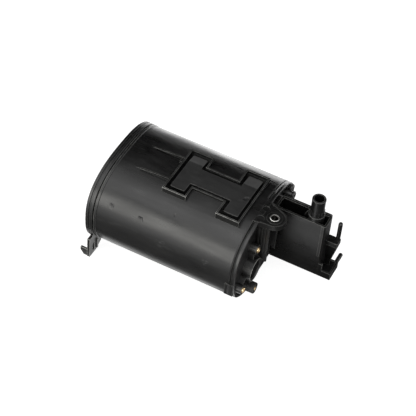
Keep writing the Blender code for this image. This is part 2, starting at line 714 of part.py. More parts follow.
def tab_tools():
    """The bolt tab with its raised edge, the ring round the bolt and the webs that carry it."""
    lip_start = RIM_FACE + SINK
    plate = slab_z("tab_plate", tab_outline(RIM_FACE - TAB_ROOT, 0), TAB_TOP - TAB_THICKNESS, TAB_TOP)
    lip = slab_z("tab_lip", tab_outline(lip_start, 0), TAB_TOP - SINK, TAB_TOP + TAB_LIP_HEIGHT)
    inside = slab_z("tab_lip_inside", tab_outline(lip_start - OVERCUT, TAB_LIP),
                    TAB_TOP - OVERCUT, TAB_TOP + TAB_LIP_HEIGHT + OVERCUT)
    cut(lip, inside)
    pad = rod("tab_pad", (TAB_X, TAB_Y, TAB_TOP - SINK), (TAB_X, TAB_Y, TAB_TOP + TAB_PAD_HEIGHT),
              TAB_PAD_RADIUS, sides=40)
    nub_x = RIM_FACE + NUB_PLACE[0]
    nub_y = TAB_Y + NUB_PLACE[1]
    nub = rod("tab_nub", (nub_x, nub_y, TAB_TOP - SINK), (nub_x, nub_y, TAB_TOP + NUB_HEIGHT),
              NUB_RADIUS, NUB_RADIUS / 2, sides=16)
    tools = [plate, lip, pad, nub]
    web_end = RIM_FACE + WEB_REACH
    base = TAB_TOP - WEB_DEPTH
    foot = base + WEB_FOOT_RISE
    for name, side in (("near", -1), ("far", 1)):
        face = TAB_Y + side * (TAB_RADIUS - WEB_SETBACK)
        low = min(face, face - side * WEB_THICKNESS)
        tools.append(slab_y(f"tab_web_{name}", [
            (END_FACE - SINK, TAB_TOP - SINK), (web_end, TAB_TOP - SINK),
            (web_end, base), (web_end - WEB_THICKNESS, base), (END_FACE - SINK, foot),
        ], low, low + WEB_THICKNESS))
    near_face = TAB_Y - (TAB_RADIUS - WEB_SETBACK)
    first = RIM_FACE + WEB_RIB
    spacing = (web_end - WEB_RIB - first) / (WEB_RIB_COUNT - 1)
    for index in range(WEB_RIB_COUNT):
        x = first + spacing * index
        tools.append(box(f"tab_web_rib_{index}", (x - WEB_RIB / 2, near_face - WEB_RIB_RISE, foot),
                         (x + WEB_RIB / 2, near_face + SINK, TAB_TOP - SINK)))
    return tools


def tab_cutters():
    """The bushing's hole and the shallow ejector marks."""
    tools = [rod("tab_bushing_hole", (TAB_X, TAB_Y, TAB_TOP - TAB_THICKNESS - OVERCUT),
                 (TAB_X, TAB_Y, TAB_TOP + OVERCUT), BUSHING_OUTER + SEAT_GAP, sides=40)]
    for name, (x, y, radius) in EJECTOR_MARKS.items():
        tools.append(rod(f"tab_ejector_mark_{name}", (RIM_FACE + x, TAB_Y + y, TAB_TOP - EJECTOR_MARK_DEPTH),
                         (RIM_FACE + x, TAB_Y + y, TAB_TOP + OVERCUT), radius, sides=24))
    return tools


def boss_place(name):
    y, z = BOSSES[name][:2]
    return PORT_Y + y, PORT_Z + z


def port_tools():
    """The vent port's tube and the three screw bosses round it, with their webs."""
    tools = [rod("port_tube", (END_FACE - SINK, PORT_Y, PORT_Z), (PORT_MOUTH, PORT_Y, PORT_Z),
                 PORT_OUTER, sides=48)]
    for name, (_, _, radius, length, _) in BOSSES.items():
        y, z = boss_place(name)
        tools.append(rod(f"boss_{name}", (END_FACE - SINK, y, z), (END_FACE + length, y, z),
                         radius + EDGE_BREAK / 2, radius, sides=28))
        tools.append(slab_x(f"boss_web_{name}", strip((y, z), (PORT_Y, PORT_Z), BOSS_WEB),
                            END_FACE - SINK, END_FACE + BOSS_WEB_HEIGHT))
    return tools


def port_cutters():
    """The port's bore with its lead-in, and the holes for the brass inserts."""
    bottom = END_WALL_INSIDE - OVERCUT - PORT_MOUTH
    bore = turned("port_bore", [
        (0, PORT_LEAD), (PORT_BORE + 2 * PORT_LEAD, PORT_LEAD), (PORT_BORE, -PORT_LEAD),
        (PORT_BORE, bottom), (0, bottom),
    ], (PORT_MOUTH, PORT_Y, PORT_Z), (1, 0, 0), TOOLS, steps=48)
    tools = [as_tool(bore)]
    for name, (_, _, _, length, rise) in BOSSES.items():
        y, z = boss_place(name)
        bottom = END_FACE + length + rise - INSERT_LENGTH - SEAT_GAP
        tools.append(rod(f"boss_hole_{name}", (bottom, y, z), (END_FACE + length + OVERCUT, y, z),
                         INSERT_RADIUS + SEAT_GAP, sides=28))
    return tools


def hose_nipple(name):
    """A hose nipple on the end face, with a rounded bead at its tip."""
    y, z, length = HOSE_NIPPLES[name]
    core = HOSE_NIPPLE_BORE / 2
    profile = [
        (HOSE_NIPPLE_BEAD - HOSE_NIPPLE_LEAD, length),
        (HOSE_NIPPLE_BEAD, length - HOSE_NIPPLE_LEAD),
        (HOSE_NIPPLE_BEAD, length - 2 * HOSE_NIPPLE_LEAD),
        (HOSE_NIPPLE_RADIUS, length - 3 * HOSE_NIPPLE_LEAD),
        (HOSE_NIPPLE_RADIUS, -SINK),
        (core, -SINK),
        (core, length),
    ]
    return as_tool(turned(f"{name}_nipple", profile, (END_FACE, y, z), (1, 0, 0), TOOLS, steps=24))


def nipple_bore(name):
    y, z, length = HOSE_NIPPLES[name]
    return rod(f"{name}_nipple_bore", (END_WALL_INSIDE - OVERCUT, y, z), (END_FACE + length + OVERCUT, y, z),
               HOSE_NIPPLE_BORE, sides=20)


def tank_cavity():
    """The inside of the tank, less the partition and the ribs that hold the fleece off the ports."""
    cavity = slab_x("tank_cavity", oval_points(INNER_HALF_WIDTH, INNER_HALF_HEIGHT),
                    TANK_START - OVERCUT, END_WALL_INSIDE)
    partition = box("partition",
                    (PARTITION_START, PARTITION_Y - PARTITION_THICKNESS / 2, -TANK_HALF_HEIGHT),
                    (END_WALL_INSIDE + OVERCUT, PARTITION_Y + PARTITION_THICKNESS / 2, TANK_HALF_HEIGHT))
    standoffs = []
    for name, z in (("upper", STANDOFF_Z), ("lower", -STANDOFF_Z)):
        standoffs.append(box(
            f"standoff_{name}",
            (END_WALL_INSIDE - STANDOFF_HEIGHT, -TANK_HALF_WIDTH, z - STANDOFF_WIDTH / 2),
            (END_WALL_INSIDE + OVERCUT, TANK_HALF_WIDTH, z + STANDOFF_WIDTH / 2)))
    cut(cavity, partition, *standoffs)
    return cavity


def passage_cutters():
    """The air passage through the end wall and the seal's groove round it."""
    pad_face = END_FACE + HOUSING_STANDOFF
    centre = (HOUSING_MIDDLE, PASSAGE_Z)
    bore = rod("passage_bore", (END_WALL_INSIDE - OVERCUT, *centre), (pad_face + OVERCUT, *centre),
               PASSAGE_RADIUS, sides=32)
    inner = PASSAGE_RADIUS + SEAL_SETBACK
    outer = inner + 2 * (SEAL_WIRE + SEAT_GAP)
    depth = 2 * SEAL_WIRE + SEAT_GAP
    groove = turned("seal_groove", [(outer, OVERCUT), (outer, -depth), (inner, -depth), (inner, OVERCUT)],
                    (pad_face, *centre), (1, 0, 0), TOOLS)
    return bore, as_tool(groove)


def make_tank_shell():
    """The tank's one-piece moulding: oval body, partition, top panel, tab, port and nipples."""
    body = (TANK_HALF_WIDTH, TANK_HALF_HEIGHT)
    neck = (TANK_HALF_WIDTH - WELD_NECK_DEPTH, TANK_HALF_HEIGHT - WELD_NECK_DEPTH)
    ridge = (TANK_HALF_WIDTH + WELD_RIDGE, TANK_HALF_HEIGHT + WELD_RIDGE)
    groove = (TANK_HALF_WIDTH - END_GROOVE_DEPTH, TANK_HALF_HEIGHT - END_GROOVE_DEPTH)
    rounded = (TANK_HALF_WIDTH - EDGE_BREAK, TANK_HALF_HEIGHT - EDGE_BREAK)
    ridge_start = TANK_START + WELD_NECK_LENGTH
    groove_end = RIM_FACE - END_BAND_LENGTH
    groove_start = groove_end - END_GROOVE_LENGTH
    shell = oval_loft("tank_shell", [
        (TANK_START, *neck),
        (ridge_start, *neck),
        (ridge_start + EDGE_BREAK / 2, *ridge),
        (ridge_start + RIDGE_WIDTH, *ridge),
        (ridge_start + RIDGE_WIDTH + EDGE_BREAK, *body),
        (groove_start, *body),
        (groove_start + EDGE_BREAK / 2, *groove),
        (groove_end - EDGE_BREAK / 2, *groove),
        (groove_end, *body),
        (RIM_FACE - EDGE_BREAK, *body),
        (RIM_FACE, *rounded),
    ], PARTS)
    end_pocket = slab_x("end_pocket",
                        oval_points(TANK_HALF_WIDTH - END_RIM, TANK_HALF_HEIGHT - END_RIM),
                        END_FACE, RIM_FACE + OVERCUT)
    block, space = panel_tools()
    housing_pad = box("housing_pad",
                      (END_FACE - SINK, HOUSING_Y + HOUSING_PAD_INSET, HOUSING_BOTTOM + HOUSING_PAD_INSET),
                      (END_FACE + HOUSING_STANDOFF, HOUSING_BACK - HOUSING_PAD_INSET,
                       HOUSING_TOP - HOUSING_PAD_INSET))
    corner_pad = box("corner_pad",
                     (RIM_FACE - CORNER_PAD_LENGTH, -TANK_HALF_WIDTH - SINK, CORNER_PAD_BOTTOM),
                     (RIM_FACE - EDGE_BREAK, -TANK_HALF_WIDTH + TANK_WALL + SINK,
                      CORNER_PAD_BOTTOM + CORNER_PAD_HEIGHT))
    rim_relief = box("rim_relief", (RIM_FACE - RIM_RELIEF, RIM_RELIEF_Y, -TANK_HALF_HEIGHT - OVERCUT),
                     (RIM_FACE + OVERCUT, TANK_HALF_WIDTH + OVERCUT, RIM_RELIEF_TOP))
    cut(shell, end_pocket, rim_relief)
    join(shell, block, *runner_tools(), *tab_tools(), *port_tools(), housing_pad, corner_pad,
         *[hose_nipple(name) for name in HOSE_NIPPLES])
    cut(shell, space, tank_cavity(), *tab_cutters(), *port_cutters(), *passage_cutters(),
        *[nipple_bore(name) for name in HOSE_NIPPLES])
    finish(shell, "black_nylon")


def chamber_piece(name, side, start, length, material_name):
    """A piece that fills one chamber's section for a length along X."""
    piece = slab_x(name, chamber_outline(side, SEAT_GAP), start, start + length)
    keep_piece(piece)
    finish(piece, material_name)
    return piece


def keep_piece(piece):
    """Moves a body made as a tool into the canister's own collection."""
    TOOLS.objects.unlink(piece)
    PARTS.objects.link(piece)
    piece.hide_render = False
    piece.display_type = "TEXTURED"


def make_chambers():
    """Charcoal beds, the fleece at both their ends and the plates that press on them."""
    for label, side in (("vapour", 1), ("vent", -1)):
        chamber_piece(f"carbon_bed_{label}", side, BED_START, BED_LENGTH, "charcoal")
        chamber_piece(f"port_fleece_{label}", side, PORT_FLEECE_START, PORT_FLEECE, "white_fleece")
        chamber_piece(f"cap_fleece_{label}", side, CAP_FLEECE_START, CAP_FLEECE, "white_fleece")
        spring_y = VAPOUR_SPRING_Y if side > 0 else VENT_SPRING_Y
        plate = chamber_piece(f"pressure_plate_{label}", side, PLATE_START, PLATE_THICKNESS, "grey_plate")
        join(plate, spring_seat(f"plate_collar_{label}", spring_y, PLATE_START - PLATE_COLLAR_HEIGHT,
                                PLATE_START + SINK))
        cut(plate, *plate_slots(label, side))


def plate_slots(label, side):
    """Upright slots through a pressure plate, in columns from the partition outwards."""
    edge = PARTITION_Y + side * (PARTITION_THICKNESS / 2 + SEAT_GAP)
    span = INNER_HALF_WIDTH - SEAT_GAP - side * edge
    columns = int((span - 2 * SLOT_MARGIN) / SLOT_PITCH)
    tools = []
    for column in range(columns):
        y = edge + side * (SLOT_MARGIN + SLOT_WIDTH / 2 + SLOT_PITCH * column)
        top = oval_height(abs(y) + SLOT_WIDTH / 2, INNER_HALF_WIDTH, INNER_HALF_HEIGHT) - SLOT_MARGIN
        for half, sign in (("upper", 1), ("lower", -1)):
            ends = sorted((sign * SLOT_BAR / 2, sign * top))
            tools.append(box(f"slot_{label}_{half}_{column}",
                             (PLATE_START - PLATE_COLLAR_HEIGHT - OVERCUT, y - SLOT_WIDTH / 2, ends[0]),
                             (PLATE_START + PLATE_THICKNESS + OVERCUT, y + SLOT_WIDTH / 2, ends[1])))
    return tools


def make_spring(name, y):
    """A compression spring with closed ends, along X between the cap and a plate."""
    start = CAP_INSIDE + SEAT_GAP + SPRING_WIRE / 2
    travel = SPRING_LENGTH - SPRING_WIRE
    closed = SPRING_CLOSED_TURNS
    pitch = SPRING_CLOSED_PITCH * SPRING_WIRE
    count = int(SPRING_TURNS * SPRING_STEPS)
    curve = bpy.data.curves.new(name, "CURVE")
    curve.dimensions = "3D"
    curve.bevel_depth = SPRING_WIRE / 2
    curve.bevel_resolution = 1
    curve.use_fill_caps = True
    spline = curve.splines.new("POLY")
    spline.points.add(count)
    for index, point in enumerate(spline.points):
        turn = SPRING_TURNS * index / count
        share = min(max((turn - closed) / (SPRING_TURNS - 2 * closed), 0.0), 1.0)
        angle = 2 * pi * turn
        lift = pitch * (min(turn, closed) + max(turn - SPRING_TURNS + closed, 0)) / closed / 2
        x = start + lift + (travel - pitch) * share
        point.co = (x, y + SPRING_RADIUS * cos(angle), SPRING_RADIUS * sin(angle), 1.0)
    spring = add_object(name, curve, PARTS)
    finish(spring, "spring_steel")


def make_insert(name):
    """A brass screw insert set in one of the port's bosses."""
    _, _, _, length, rise = BOSSES[name]
    profile = [
        (INSERT_RADIUS - EDGE_BREAK / 3, 0),
        (INSERT_RADIUS, -EDGE_BREAK / 3),
        (INSERT_RADIUS, -INSERT_LENGTH),
        (INSERT_BORE, -INSERT_LENGTH),
        (INSERT_BORE, -EDGE_BREAK),
        (INSERT_BORE + EDGE_BREAK, 0),
    ]
    y, z = boss_place(name)
    mouth = END_FACE + length + rise
    item = turned(f"vent_insert_{name}", profile, (mouth, y, z), (1, 0, 0), PARTS, steps=24)
    finish(item, "brass")


def make_small_fittings():
    """The brass inserts, the tab's steel bushing and the seal of the air passage."""
    for name in BOSSES:
        make_insert(name)
    top = TAB_TOP + TAB_PAD_HEIGHT + BUSHING_PROUD
    bottom = TAB_TOP - TAB_THICKNESS - BUSHING_PROUD
    bushing = turned("tab_bushing", [
        (BUSHING_OUTER - EDGE_BREAK / 2, top), (BUSHING_OUTER, top - EDGE_BREAK / 2),
        (BUSHING_OUTER, bottom), (BUSHING_BORE, bottom),
        (BUSHING_BORE, top - EDGE_BREAK), (BUSHING_BORE + EDGE_BREAK, top),
    ], (TAB_X, TAB_Y, 0), (0, 0, 1), PARTS, steps=40)
    finish(bushing, "plated_steel")
    pad_face = END_FACE + HOUSING_STANDOFF
    bpy.ops.mesh.primitive_torus_add(
        major_radius=PASSAGE_RADIUS + SEAL_SETBACK + SEAT_GAP + SEAL_WIRE,
        minor_radius=SEAL_WIRE, major_segments=32, minor_segments=8,
        location=(pad_face - SEAL_WIRE, HOUSING_MIDDLE, PASSAGE_Z), rotation=(0, pi / 2, 0))
    seal = bpy.context.object
    seal.name = "passage_seal"
    for group in list(seal.users_collection):
        group.objects.unlink(seal)
    PARTS.objects.link(seal)
    finish(seal, "seal_rubber")


def housing_cavity_corners():
    """Lowest and highest corners of the housing's hollow."""
    low = (HOUSING_START + HOUSING_WALL, HOUSING_Y + HOUSING_WALL, HOUSING_BOTTOM + HOUSING_WALL)
    high = (HOUSING_END - HOUSING_WALL, HOUSING_BACK, TRAY_FLOOR - HOUSING_WALL)
    return Vector(low), Vector(high)


def spigot_tools():
    """The air spigot with its collar and gussets, standing in the top tray."""
    y = HOUSING_MIDDLE
    base = TRAY_FLOOR - SINK
    top = HOUSING_TOP + SPIGOT_TOP
    collar_top = HOUSING_TOP + SPIGOT_COLLAR_TOP
    bead = top - SPIGOT_BEAD_HEIGHT
    shoulder = HOUSING_TOP + SPIGOT_SHOULDER
    core = SPIGOT_BORE / 2
    tube = turned("spigot_tube", [
        (SPIGOT_OUTER - EDGE_BREAK, top), (SPIGOT_OUTER, top - EDGE_BREAK), (SPIGOT_OUTER, bead),
        (SPIGOT_NECK, bead - EDGE_BREAK), (SPIGOT_NECK, shoulder), (SPIGOT_OUTER, shoulder - EDGE_BREAK),
        (SPIGOT_OUTER, collar_top), (SPIGOT_COLLAR - EDGE_BREAK, collar_top),
        (SPIGOT_COLLAR, collar_top - EDGE_BREAK), (SPIGOT_COLLAR, base), (core, base), (core, top),
    ], (SPIGOT_AXIS_X, y, 0), (0, 0, 1), TOOLS, steps=40)
    foot = SPIGOT_AXIS_X - SPIGOT_COLLAR - SPIGOT_GUSSET_FOOT
    inside = SPIGOT_AXIS_X - SPIGOT_OUTER + SINK
    gusset = slab_y("spigot_gusset", [
        (inside, shoulder - SINK), (foot, HOUSING_TOP - SINK), (foot, base), (inside, base),
    ], y - SPIGOT_GUSSET / 2, y + SPIGOT_GUSSET / 2)
    nub = rod("spigot_nub", (SPIGOT_AXIS_X + SPIGOT_OUTER - SINK, y, shoulder - 2 * SINK),
              (SPIGOT_AXIS_X + SPIGOT_OUTER + SINK, y, shoulder - 2 * SINK), SINK, sides=12)
    return as_tool(tube), gusset, nub


def carrier_tools():
    """The open carrier on the housing's far end: tray, step, pad and sloped web."""
    start = HOUSING_END - SINK
    end = HOUSING_END + TRAY_REACH
    lip_top = HOUSING_BOTTOM + TRAY_LIP
    floor = box("tray_floor", (start, HOUSING_Y, HOUSING_BOTTOM),
                (end, CARRIER_BACK, HOUSING_BOTTOM + TRAY_WALL))
    near_lip = box("tray_near_lip", (start, HOUSING_Y, HOUSING_BOTTOM),
                   (end, HOUSING_Y + TRAY_WALL, lip_top))
    far_lip = box("tray_far_lip", (start, CARRIER_BACK - TRAY_WALL, HOUSING_BOTTOM),
                  (end, CARRIER_BACK, lip_top))
    end_lip = box("tray_end_lip", (end - TRAY_WALL, HOUSING_Y, HOUSING_BOTTOM),
                  (end, CARRIER_BACK, lip_top))
    step = box("tray_step", (start, HOUSING_Y, HOUSING_BOTTOM),
               (HOUSING_END + TRAY_STEP_REACH, HOUSING_Y + TRAY_WALL, HOUSING_BOTTOM + TRAY_STEP_HEIGHT))
    pad = box("carrier_pad", (start, CARRIER_BACK - PAD_WIDTH, PAD_TOP - PAD_THICKNESS),
              (HOUSING_END + PAD_REACH, CARRIER_BACK, PAD_TOP))
    pad_edge = HOUSING_END + PAD_REACH - EDGE_BREAK
    web = slab_y("carrier_web", [
        (start, PAD_TOP - SINK), (pad_edge, PAD_TOP - SINK),
        (pad_edge, PAD_TOP - PAD_THICKNESS - CARRIER_WEB_SHOULDER),
        (HOUSING_END + CARRIER_WEB_FOOT, lip_top), (HOUSING_END + CARRIER_WEB_FOOT, HOUSING_BOTTOM + SINK),
        (start, HOUSING_BOTTOM + SINK),
    ], HOUSING_BACK - SINK, CARRIER_BACK - EDGE_BREAK)
    return floor, near_lip, far_lip, end_lip, step, pad, web


def small_nipple_ends():
    """Start and end of the carrier's upright and level nipples."""
    inset = SMALL_NIPPLE_RADIUS + SEAT_GAP
    upper_x = HOUSING_END + PAD_REACH - inset
    upper_y = CARRIER_BACK - inset
    lower_x = HOUSING_END + TRAY_REACH - inset
    lower_z = HOUSING_BOTTOM + TRAY_LIP - inset
    upper = (Vector((upper_x, upper_y, PAD_TOP)), Vector((upper_x, upper_y, PAD_TOP + UPPER_NIPPLE_LENGTH)))
    lower = (Vector((lower_x, CARRIER_BACK, lower_z)),
             Vector((lower_x, CARRIER_BACK + LOWER_NIPPLE_LENGTH, lower_z)))
    return {"upper": upper, "lower": lower}


def small_nipple_tools():
    tools = []
    for name, (root, tip) in small_nipple_ends().items():
        along = (tip - root).normalized()
        tools.append(rod(f"nipple_{name}", root - along * SINK, tip - along * SINK,
                         SMALL_NIPPLE_RADIUS, sides=16))
        tools.append(rod(f"nipple_{name}_tip", tip - along * 1.5 * SINK, tip,
                         SMALL_NIPPLE_RADIUS, SMALL_NIPPLE_RADIUS - EDGE_BREAK, sides=16))
    return tools


def small_nipple_bores():
    tools = []
    for name, (root, tip) in small_nipple_ends().items():
        along = (tip - root).normalized()
        depth = PAD_THICKNESS if name == "upper" else TRAY_WALL
        tools.append(rod(f"nipple_{name}_bore", root - along * (depth + OVERCUT / 2), tip + along * OVERCUT,
                         SMALL_NIPPLE_BORE, sides=12))
    return tools


def make_filter_housing():
    """The housing's moulding: a box open at its back, with the top tray, spigot and carrier."""
    outline = round_corners([
        (HOUSING_START, HOUSING_Y), (HOUSING_END, HOUSING_Y),
        (HOUSING_END, HOUSING_BACK), (HOUSING_START, HOUSING_BACK)], HOUSING_CORNER)
    housing = slab_z("filter_housing", outline, HOUSING_BOTTOM, HOUSING_TOP)
    keep_piece(housing)
    low, high = housing_cavity_corners()
    top_tray = box("top_tray", (low.x, low.y, TRAY_FLOOR),
                   (high.x, HOUSING_BACK - HOUSING_WALL, HOUSING_TOP + OVERCUT))
    cut(housing, top_tray)
    flange = box("end_flange", (HOUSING_END - END_FLANGE_WIDTH - HOUSING_CORNER, HOUSING_Y - END_FLANGE_RISE,
                                END_FLANGE_BOTTOM),
                 (HOUSING_END - HOUSING_CORNER, HOUSING_Y + SINK, HOUSING_TOP - EDGE_BREAK / 2))
    join(housing, *spigot_tools(), flange, *carrier_tools(), *small_nipple_tools())
    cavity = box("housing_cavity", low, (high.x, HOUSING_BACK + OVERCUT, high.z))
    ribs = []
    for index, x in enumerate(foam_rib_places()):
        ribs.append(box(f"foam_rib_{index}", (x, low.y - SINK, low.z - SINK),
                        (x + FOAM_RIB, low.y + FOAM_RIB_REACH, high.z + SINK)))
    cut(cavity, *ribs)
    spigot_bore = rod("spigot_bore", (SPIGOT_AXIS_X, HOUSING_MIDDLE, high.z - OVERCUT),
                      (SPIGOT_AXIS_X, HOUSING_MIDDLE, HOUSING_TOP + SPIGOT_TOP + OVERCUT),
                      SPIGOT_BORE, sides=40)
    passage = rod("housing_passage", (HOUSING_START - OVERCUT, HOUSING_MIDDLE, PASSAGE_Z),
                  (low.x + OVERCUT, HOUSING_MIDDLE, PASSAGE_Z), PASSAGE_RADIUS)
    cut(housing, cavity, spigot_bore, passage, *small_nipple_bores())
    finish(housing, "black_nylon_housing")


def foam_rib_places():
    """Where the two ribs that hold the foam start, along X."""
    low, _ = housing_cavity_corners()
    first = low.x + FOAM_SETBACK
    return first, first + FOAM_RIB + 2 * SEAT_GAP + FOAM_LENGTH


def make_housing_cover():
    """The welded back cover, with a lip that enters the housing and ribs outside."""
    start = HOUSING_BACK + SEAT_GAP
    outline = round_corners([
        (HOUSING_START, HOUSING_BOTTOM), (COVER_END, HOUSING_BOTTOM),
        (COVER_END, HOUSING_TOP), (HOUSING_START, HOUSING_TOP)], HOUSING_CORNER)
    cover = slab_y("housing_cover", outline, start, COVER_BACK)
    keep_piece(cover)
    low, high = housing_cavity_corners()
    gap = SEAT_GAP
    lip = box("cover_lip", (low.x + gap, HOUSING_BACK - COVER_LIP, low.z + gap),
              (high.x - gap, start + SINK, high.z - gap))
    inner = HOUSING_WALL
    lip_inside = box("cover_lip_inside",
                     (low.x + inner, HOUSING_BACK - COVER_LIP - OVERCUT, low.z + inner),
                     (high.x - inner, start, high.z - inner))
    cut(lip, lip_inside)
    ribs = []
    for index in range(COVER_RIB_COUNT):
        z = HOUSING_BOTTOM + (HOUSING_TOP - HOUSING_BOTTOM) * (index + 1) / (COVER_RIB_COUNT + 1)
        ribs.append(box(f"cover_rib_{index}",
                        (HOUSING_START + 2 * HOUSING_WALL, COVER_BACK - SINK, z - COVER_RIB / 2),
                        (COVER_END - 2 * HOUSING_WALL, COVER_BACK + COVER_RIB / 2, z + COVER_RIB / 2)))
    join(cover, lip, *ribs)
    finish(cover, "black_nylon_housing")


def make_foam_filter():
    """The foam block that cleans the incoming air, between its two ribs."""
    low, high = housing_cavity_corners()
    gap = SEAT_GAP
    start = foam_rib_places()[0] + FOAM_RIB + gap
    foam = box("foam_filter", (start, low.y + gap, low.z + HOUSING_WALL),
               (start + FOAM_LENGTH, HOUSING_BACK - COVER_LIP - gap, high.z - HOUSING_WALL))
    keep_piece(foam)
    finish(foam, "dark_foam")


clear_scene()
PARTS = new_collection("charcoal_canister")
TOOLS = new_collection("cutters")
SHARED = {name: make_material(name) for name in MATERIALS}
make_tank_shell()
make_end_cap()
make_chambers()
make_spring("spring_vapour", VAPOUR_SPRING_Y)
make_spring("spring_vent", VENT_SPRING_Y)
make_small_fittings()
make_filter_housing()
make_housing_cover()
make_foam_filter()
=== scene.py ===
# %% [markdown]
# # A charcoal canister, from its solids to a picture
#
# A charcoal canister is a plastic tank full of activated carbon. It sits between a car's fuel
# tank and its engine and holds the petrol vapour back. The solids of this one are already made
# and come in as a fixed frame. This lesson gives them their finish: moulded black nylon, brass,
# plated steel, fleece and foam, and the small traces that moulding and welding leave behind.
# Everything is in metres. +X runs along the tank to its port end, +Y across it, and +Z is up.

# %% Load the frame
from math import cos, pi, radians, sin

import bmesh
import bpy
from mathutils import Matrix, Vector


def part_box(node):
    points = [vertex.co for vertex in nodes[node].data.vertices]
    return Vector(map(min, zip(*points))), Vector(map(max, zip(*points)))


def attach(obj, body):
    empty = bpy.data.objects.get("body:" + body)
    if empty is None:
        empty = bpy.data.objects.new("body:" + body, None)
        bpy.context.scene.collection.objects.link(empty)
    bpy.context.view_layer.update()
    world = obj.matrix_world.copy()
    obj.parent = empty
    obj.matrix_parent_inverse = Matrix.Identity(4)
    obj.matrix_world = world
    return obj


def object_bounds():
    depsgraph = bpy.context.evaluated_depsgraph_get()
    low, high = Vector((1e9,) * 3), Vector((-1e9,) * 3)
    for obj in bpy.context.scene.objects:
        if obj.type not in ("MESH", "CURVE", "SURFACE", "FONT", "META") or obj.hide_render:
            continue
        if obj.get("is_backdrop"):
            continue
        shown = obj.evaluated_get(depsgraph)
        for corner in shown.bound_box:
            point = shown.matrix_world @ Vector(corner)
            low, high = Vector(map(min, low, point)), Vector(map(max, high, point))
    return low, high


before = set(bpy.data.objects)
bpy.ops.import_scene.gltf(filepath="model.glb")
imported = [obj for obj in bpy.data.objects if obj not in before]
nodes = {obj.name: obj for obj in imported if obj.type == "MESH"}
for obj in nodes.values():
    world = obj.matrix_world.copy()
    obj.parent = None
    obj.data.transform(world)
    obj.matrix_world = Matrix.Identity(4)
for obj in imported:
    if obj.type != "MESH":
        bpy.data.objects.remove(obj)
cad_low, cad_high = (list(corner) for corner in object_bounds())
print("CAD box", cad_low, cad_high, "with", len(nodes), "nodes")

# %% [markdown]
# ## The camera
#
# A camera can be aimed with a constraint, or its matrix can be built from three angles. The
# matrix is chosen here, because the photograph was taken with a slight roll, which an aim
# constraint would lose. A long lens from far away gives the photograph's weak perspective.

# %% Set up the camera
CAMERA_AZIMUTH = radians(23.5)
CAMERA_ELEVATION = radians(46.7)
CAMERA_ROLL = radians(5.6)
CAMERA_PLACE = Vector((0.5755, -1.0592, 1.2373))
CAMERA_REACH = 20.0
SENSOR = 36.0
IMAGE_WIDTH = 416
FOCAL_PIXELS = 1500          # focal length in pixels of the square picture

level_right = Vector((cos(CAMERA_AZIMUTH), sin(CAMERA_AZIMUTH), 0))
backward = Vector((sin(CAMERA_AZIMUTH) * cos(CAMERA_ELEVATION),
                   -cos(CAMERA_AZIMUTH) * cos(CAMERA_ELEVATION), sin(CAMERA_ELEVATION)))
level_up = backward.cross(level_right)
right = cos(CAMERA_ROLL) * level_right + sin(CAMERA_ROLL) * level_up
upward = cos(CAMERA_ROLL) * level_up - sin(CAMERA_ROLL) * level_right
turned = Matrix((right, upward, backward)).transposed().to_4x4()

camera = bpy.data.objects.new("camera", bpy.data.cameras.new("camera"))
bpy.context.scene.collection.objects.link(camera)
camera.matrix_world = Matrix.Translation(CAMERA_PLACE) @ turned
camera.data.sensor_width = SENSOR
camera.data.lens = FOCAL_PIXELS * SENSOR / IMAGE_WIDTH
camera.data.clip_end = CAMERA_REACH
bpy.context.scene.camera = camera
print("lens", round(camera.data.lens, 1), "mm")

# %% [markdown]
# ## Node trees
#
# Materials, lights and Geometry Nodes are all trees of nodes. Wiring them by hand takes four
# lines a node, so one helper adds a node, sets it up and links it, and a few more do sums.

# %% Helpers that add a node
def add_node(tree, kind, inputs=None, **settings):
    """Adds a node, sets its properties, and sets or links its inputs by name or number."""
    node = tree.nodes.new(kind)
    for name, value in settings.items():
        setattr(node, name, value)
    for name, value in (inputs or {}).items():
        if isinstance(value, bpy.types.NodeSocket):
            tree.links.new(value, node.inputs[name])
        else:
            node.inputs[name].default_value = value
    return node


def result(tree, kind, inputs=None, output=0, **settings):
    """Adds a node and hands back one of its outputs."""
    return add_node(tree, kind, inputs, **settings).outputs[output]


print("nodes are added in Blender", bpy.app.version_string)


# %% Helpers that do sums with nodes
def maths(tree, operation, first, second=0.0):
    """One arithmetic node; the two values may be numbers or sockets."""
    return result(tree, "ShaderNodeMath", {0: first, 1: second}, operation=operation)


def times(tree, first, second):
    """One value multiplied by another."""
    return maths(tree, "MULTIPLY", first, second)


def larger(tree, first, second):
    """The larger of two values."""
    return maths(tree, "MAXIMUM", first, second)


def vector_maths(tree, operation, first, second=None, output="Vector"):
    """One vector node; SCALE takes a number, and the others take a vector or nothing."""
    inputs = {0: first}
    if operation == "SCALE":
        inputs["Scale"] = second
    elif second is not None:
        inputs[1] = second
    return result(tree, "ShaderNodeVectorMath", inputs, output, operation=operation)


# %% Where a point lies, and which ray sees it
def object_axes(tree):
    """The three Object coordinates, each as a value of its own."""
    place = result(tree, "ShaderNodeTexCoord", output="Object")
    return add_node(tree, "ShaderNodeSeparateXYZ", {"Vector": place}).outputs


def seen_directly(tree, camera_value=1.0, mirrored_value=1.0):
    """One value for rays from the camera, one for rays off a gloss or through glass, else 0."""
    path = add_node(tree, "ShaderNodeLightPath").outputs
    mirrored = larger(tree, path["Is Glossy Ray"], path["Is Transmission Ray"])
    mirrored = times(tree, mirrored, mirrored_value)
    return larger(tree, times(tree, path["Is Camera Ray"], camera_value), mirrored)


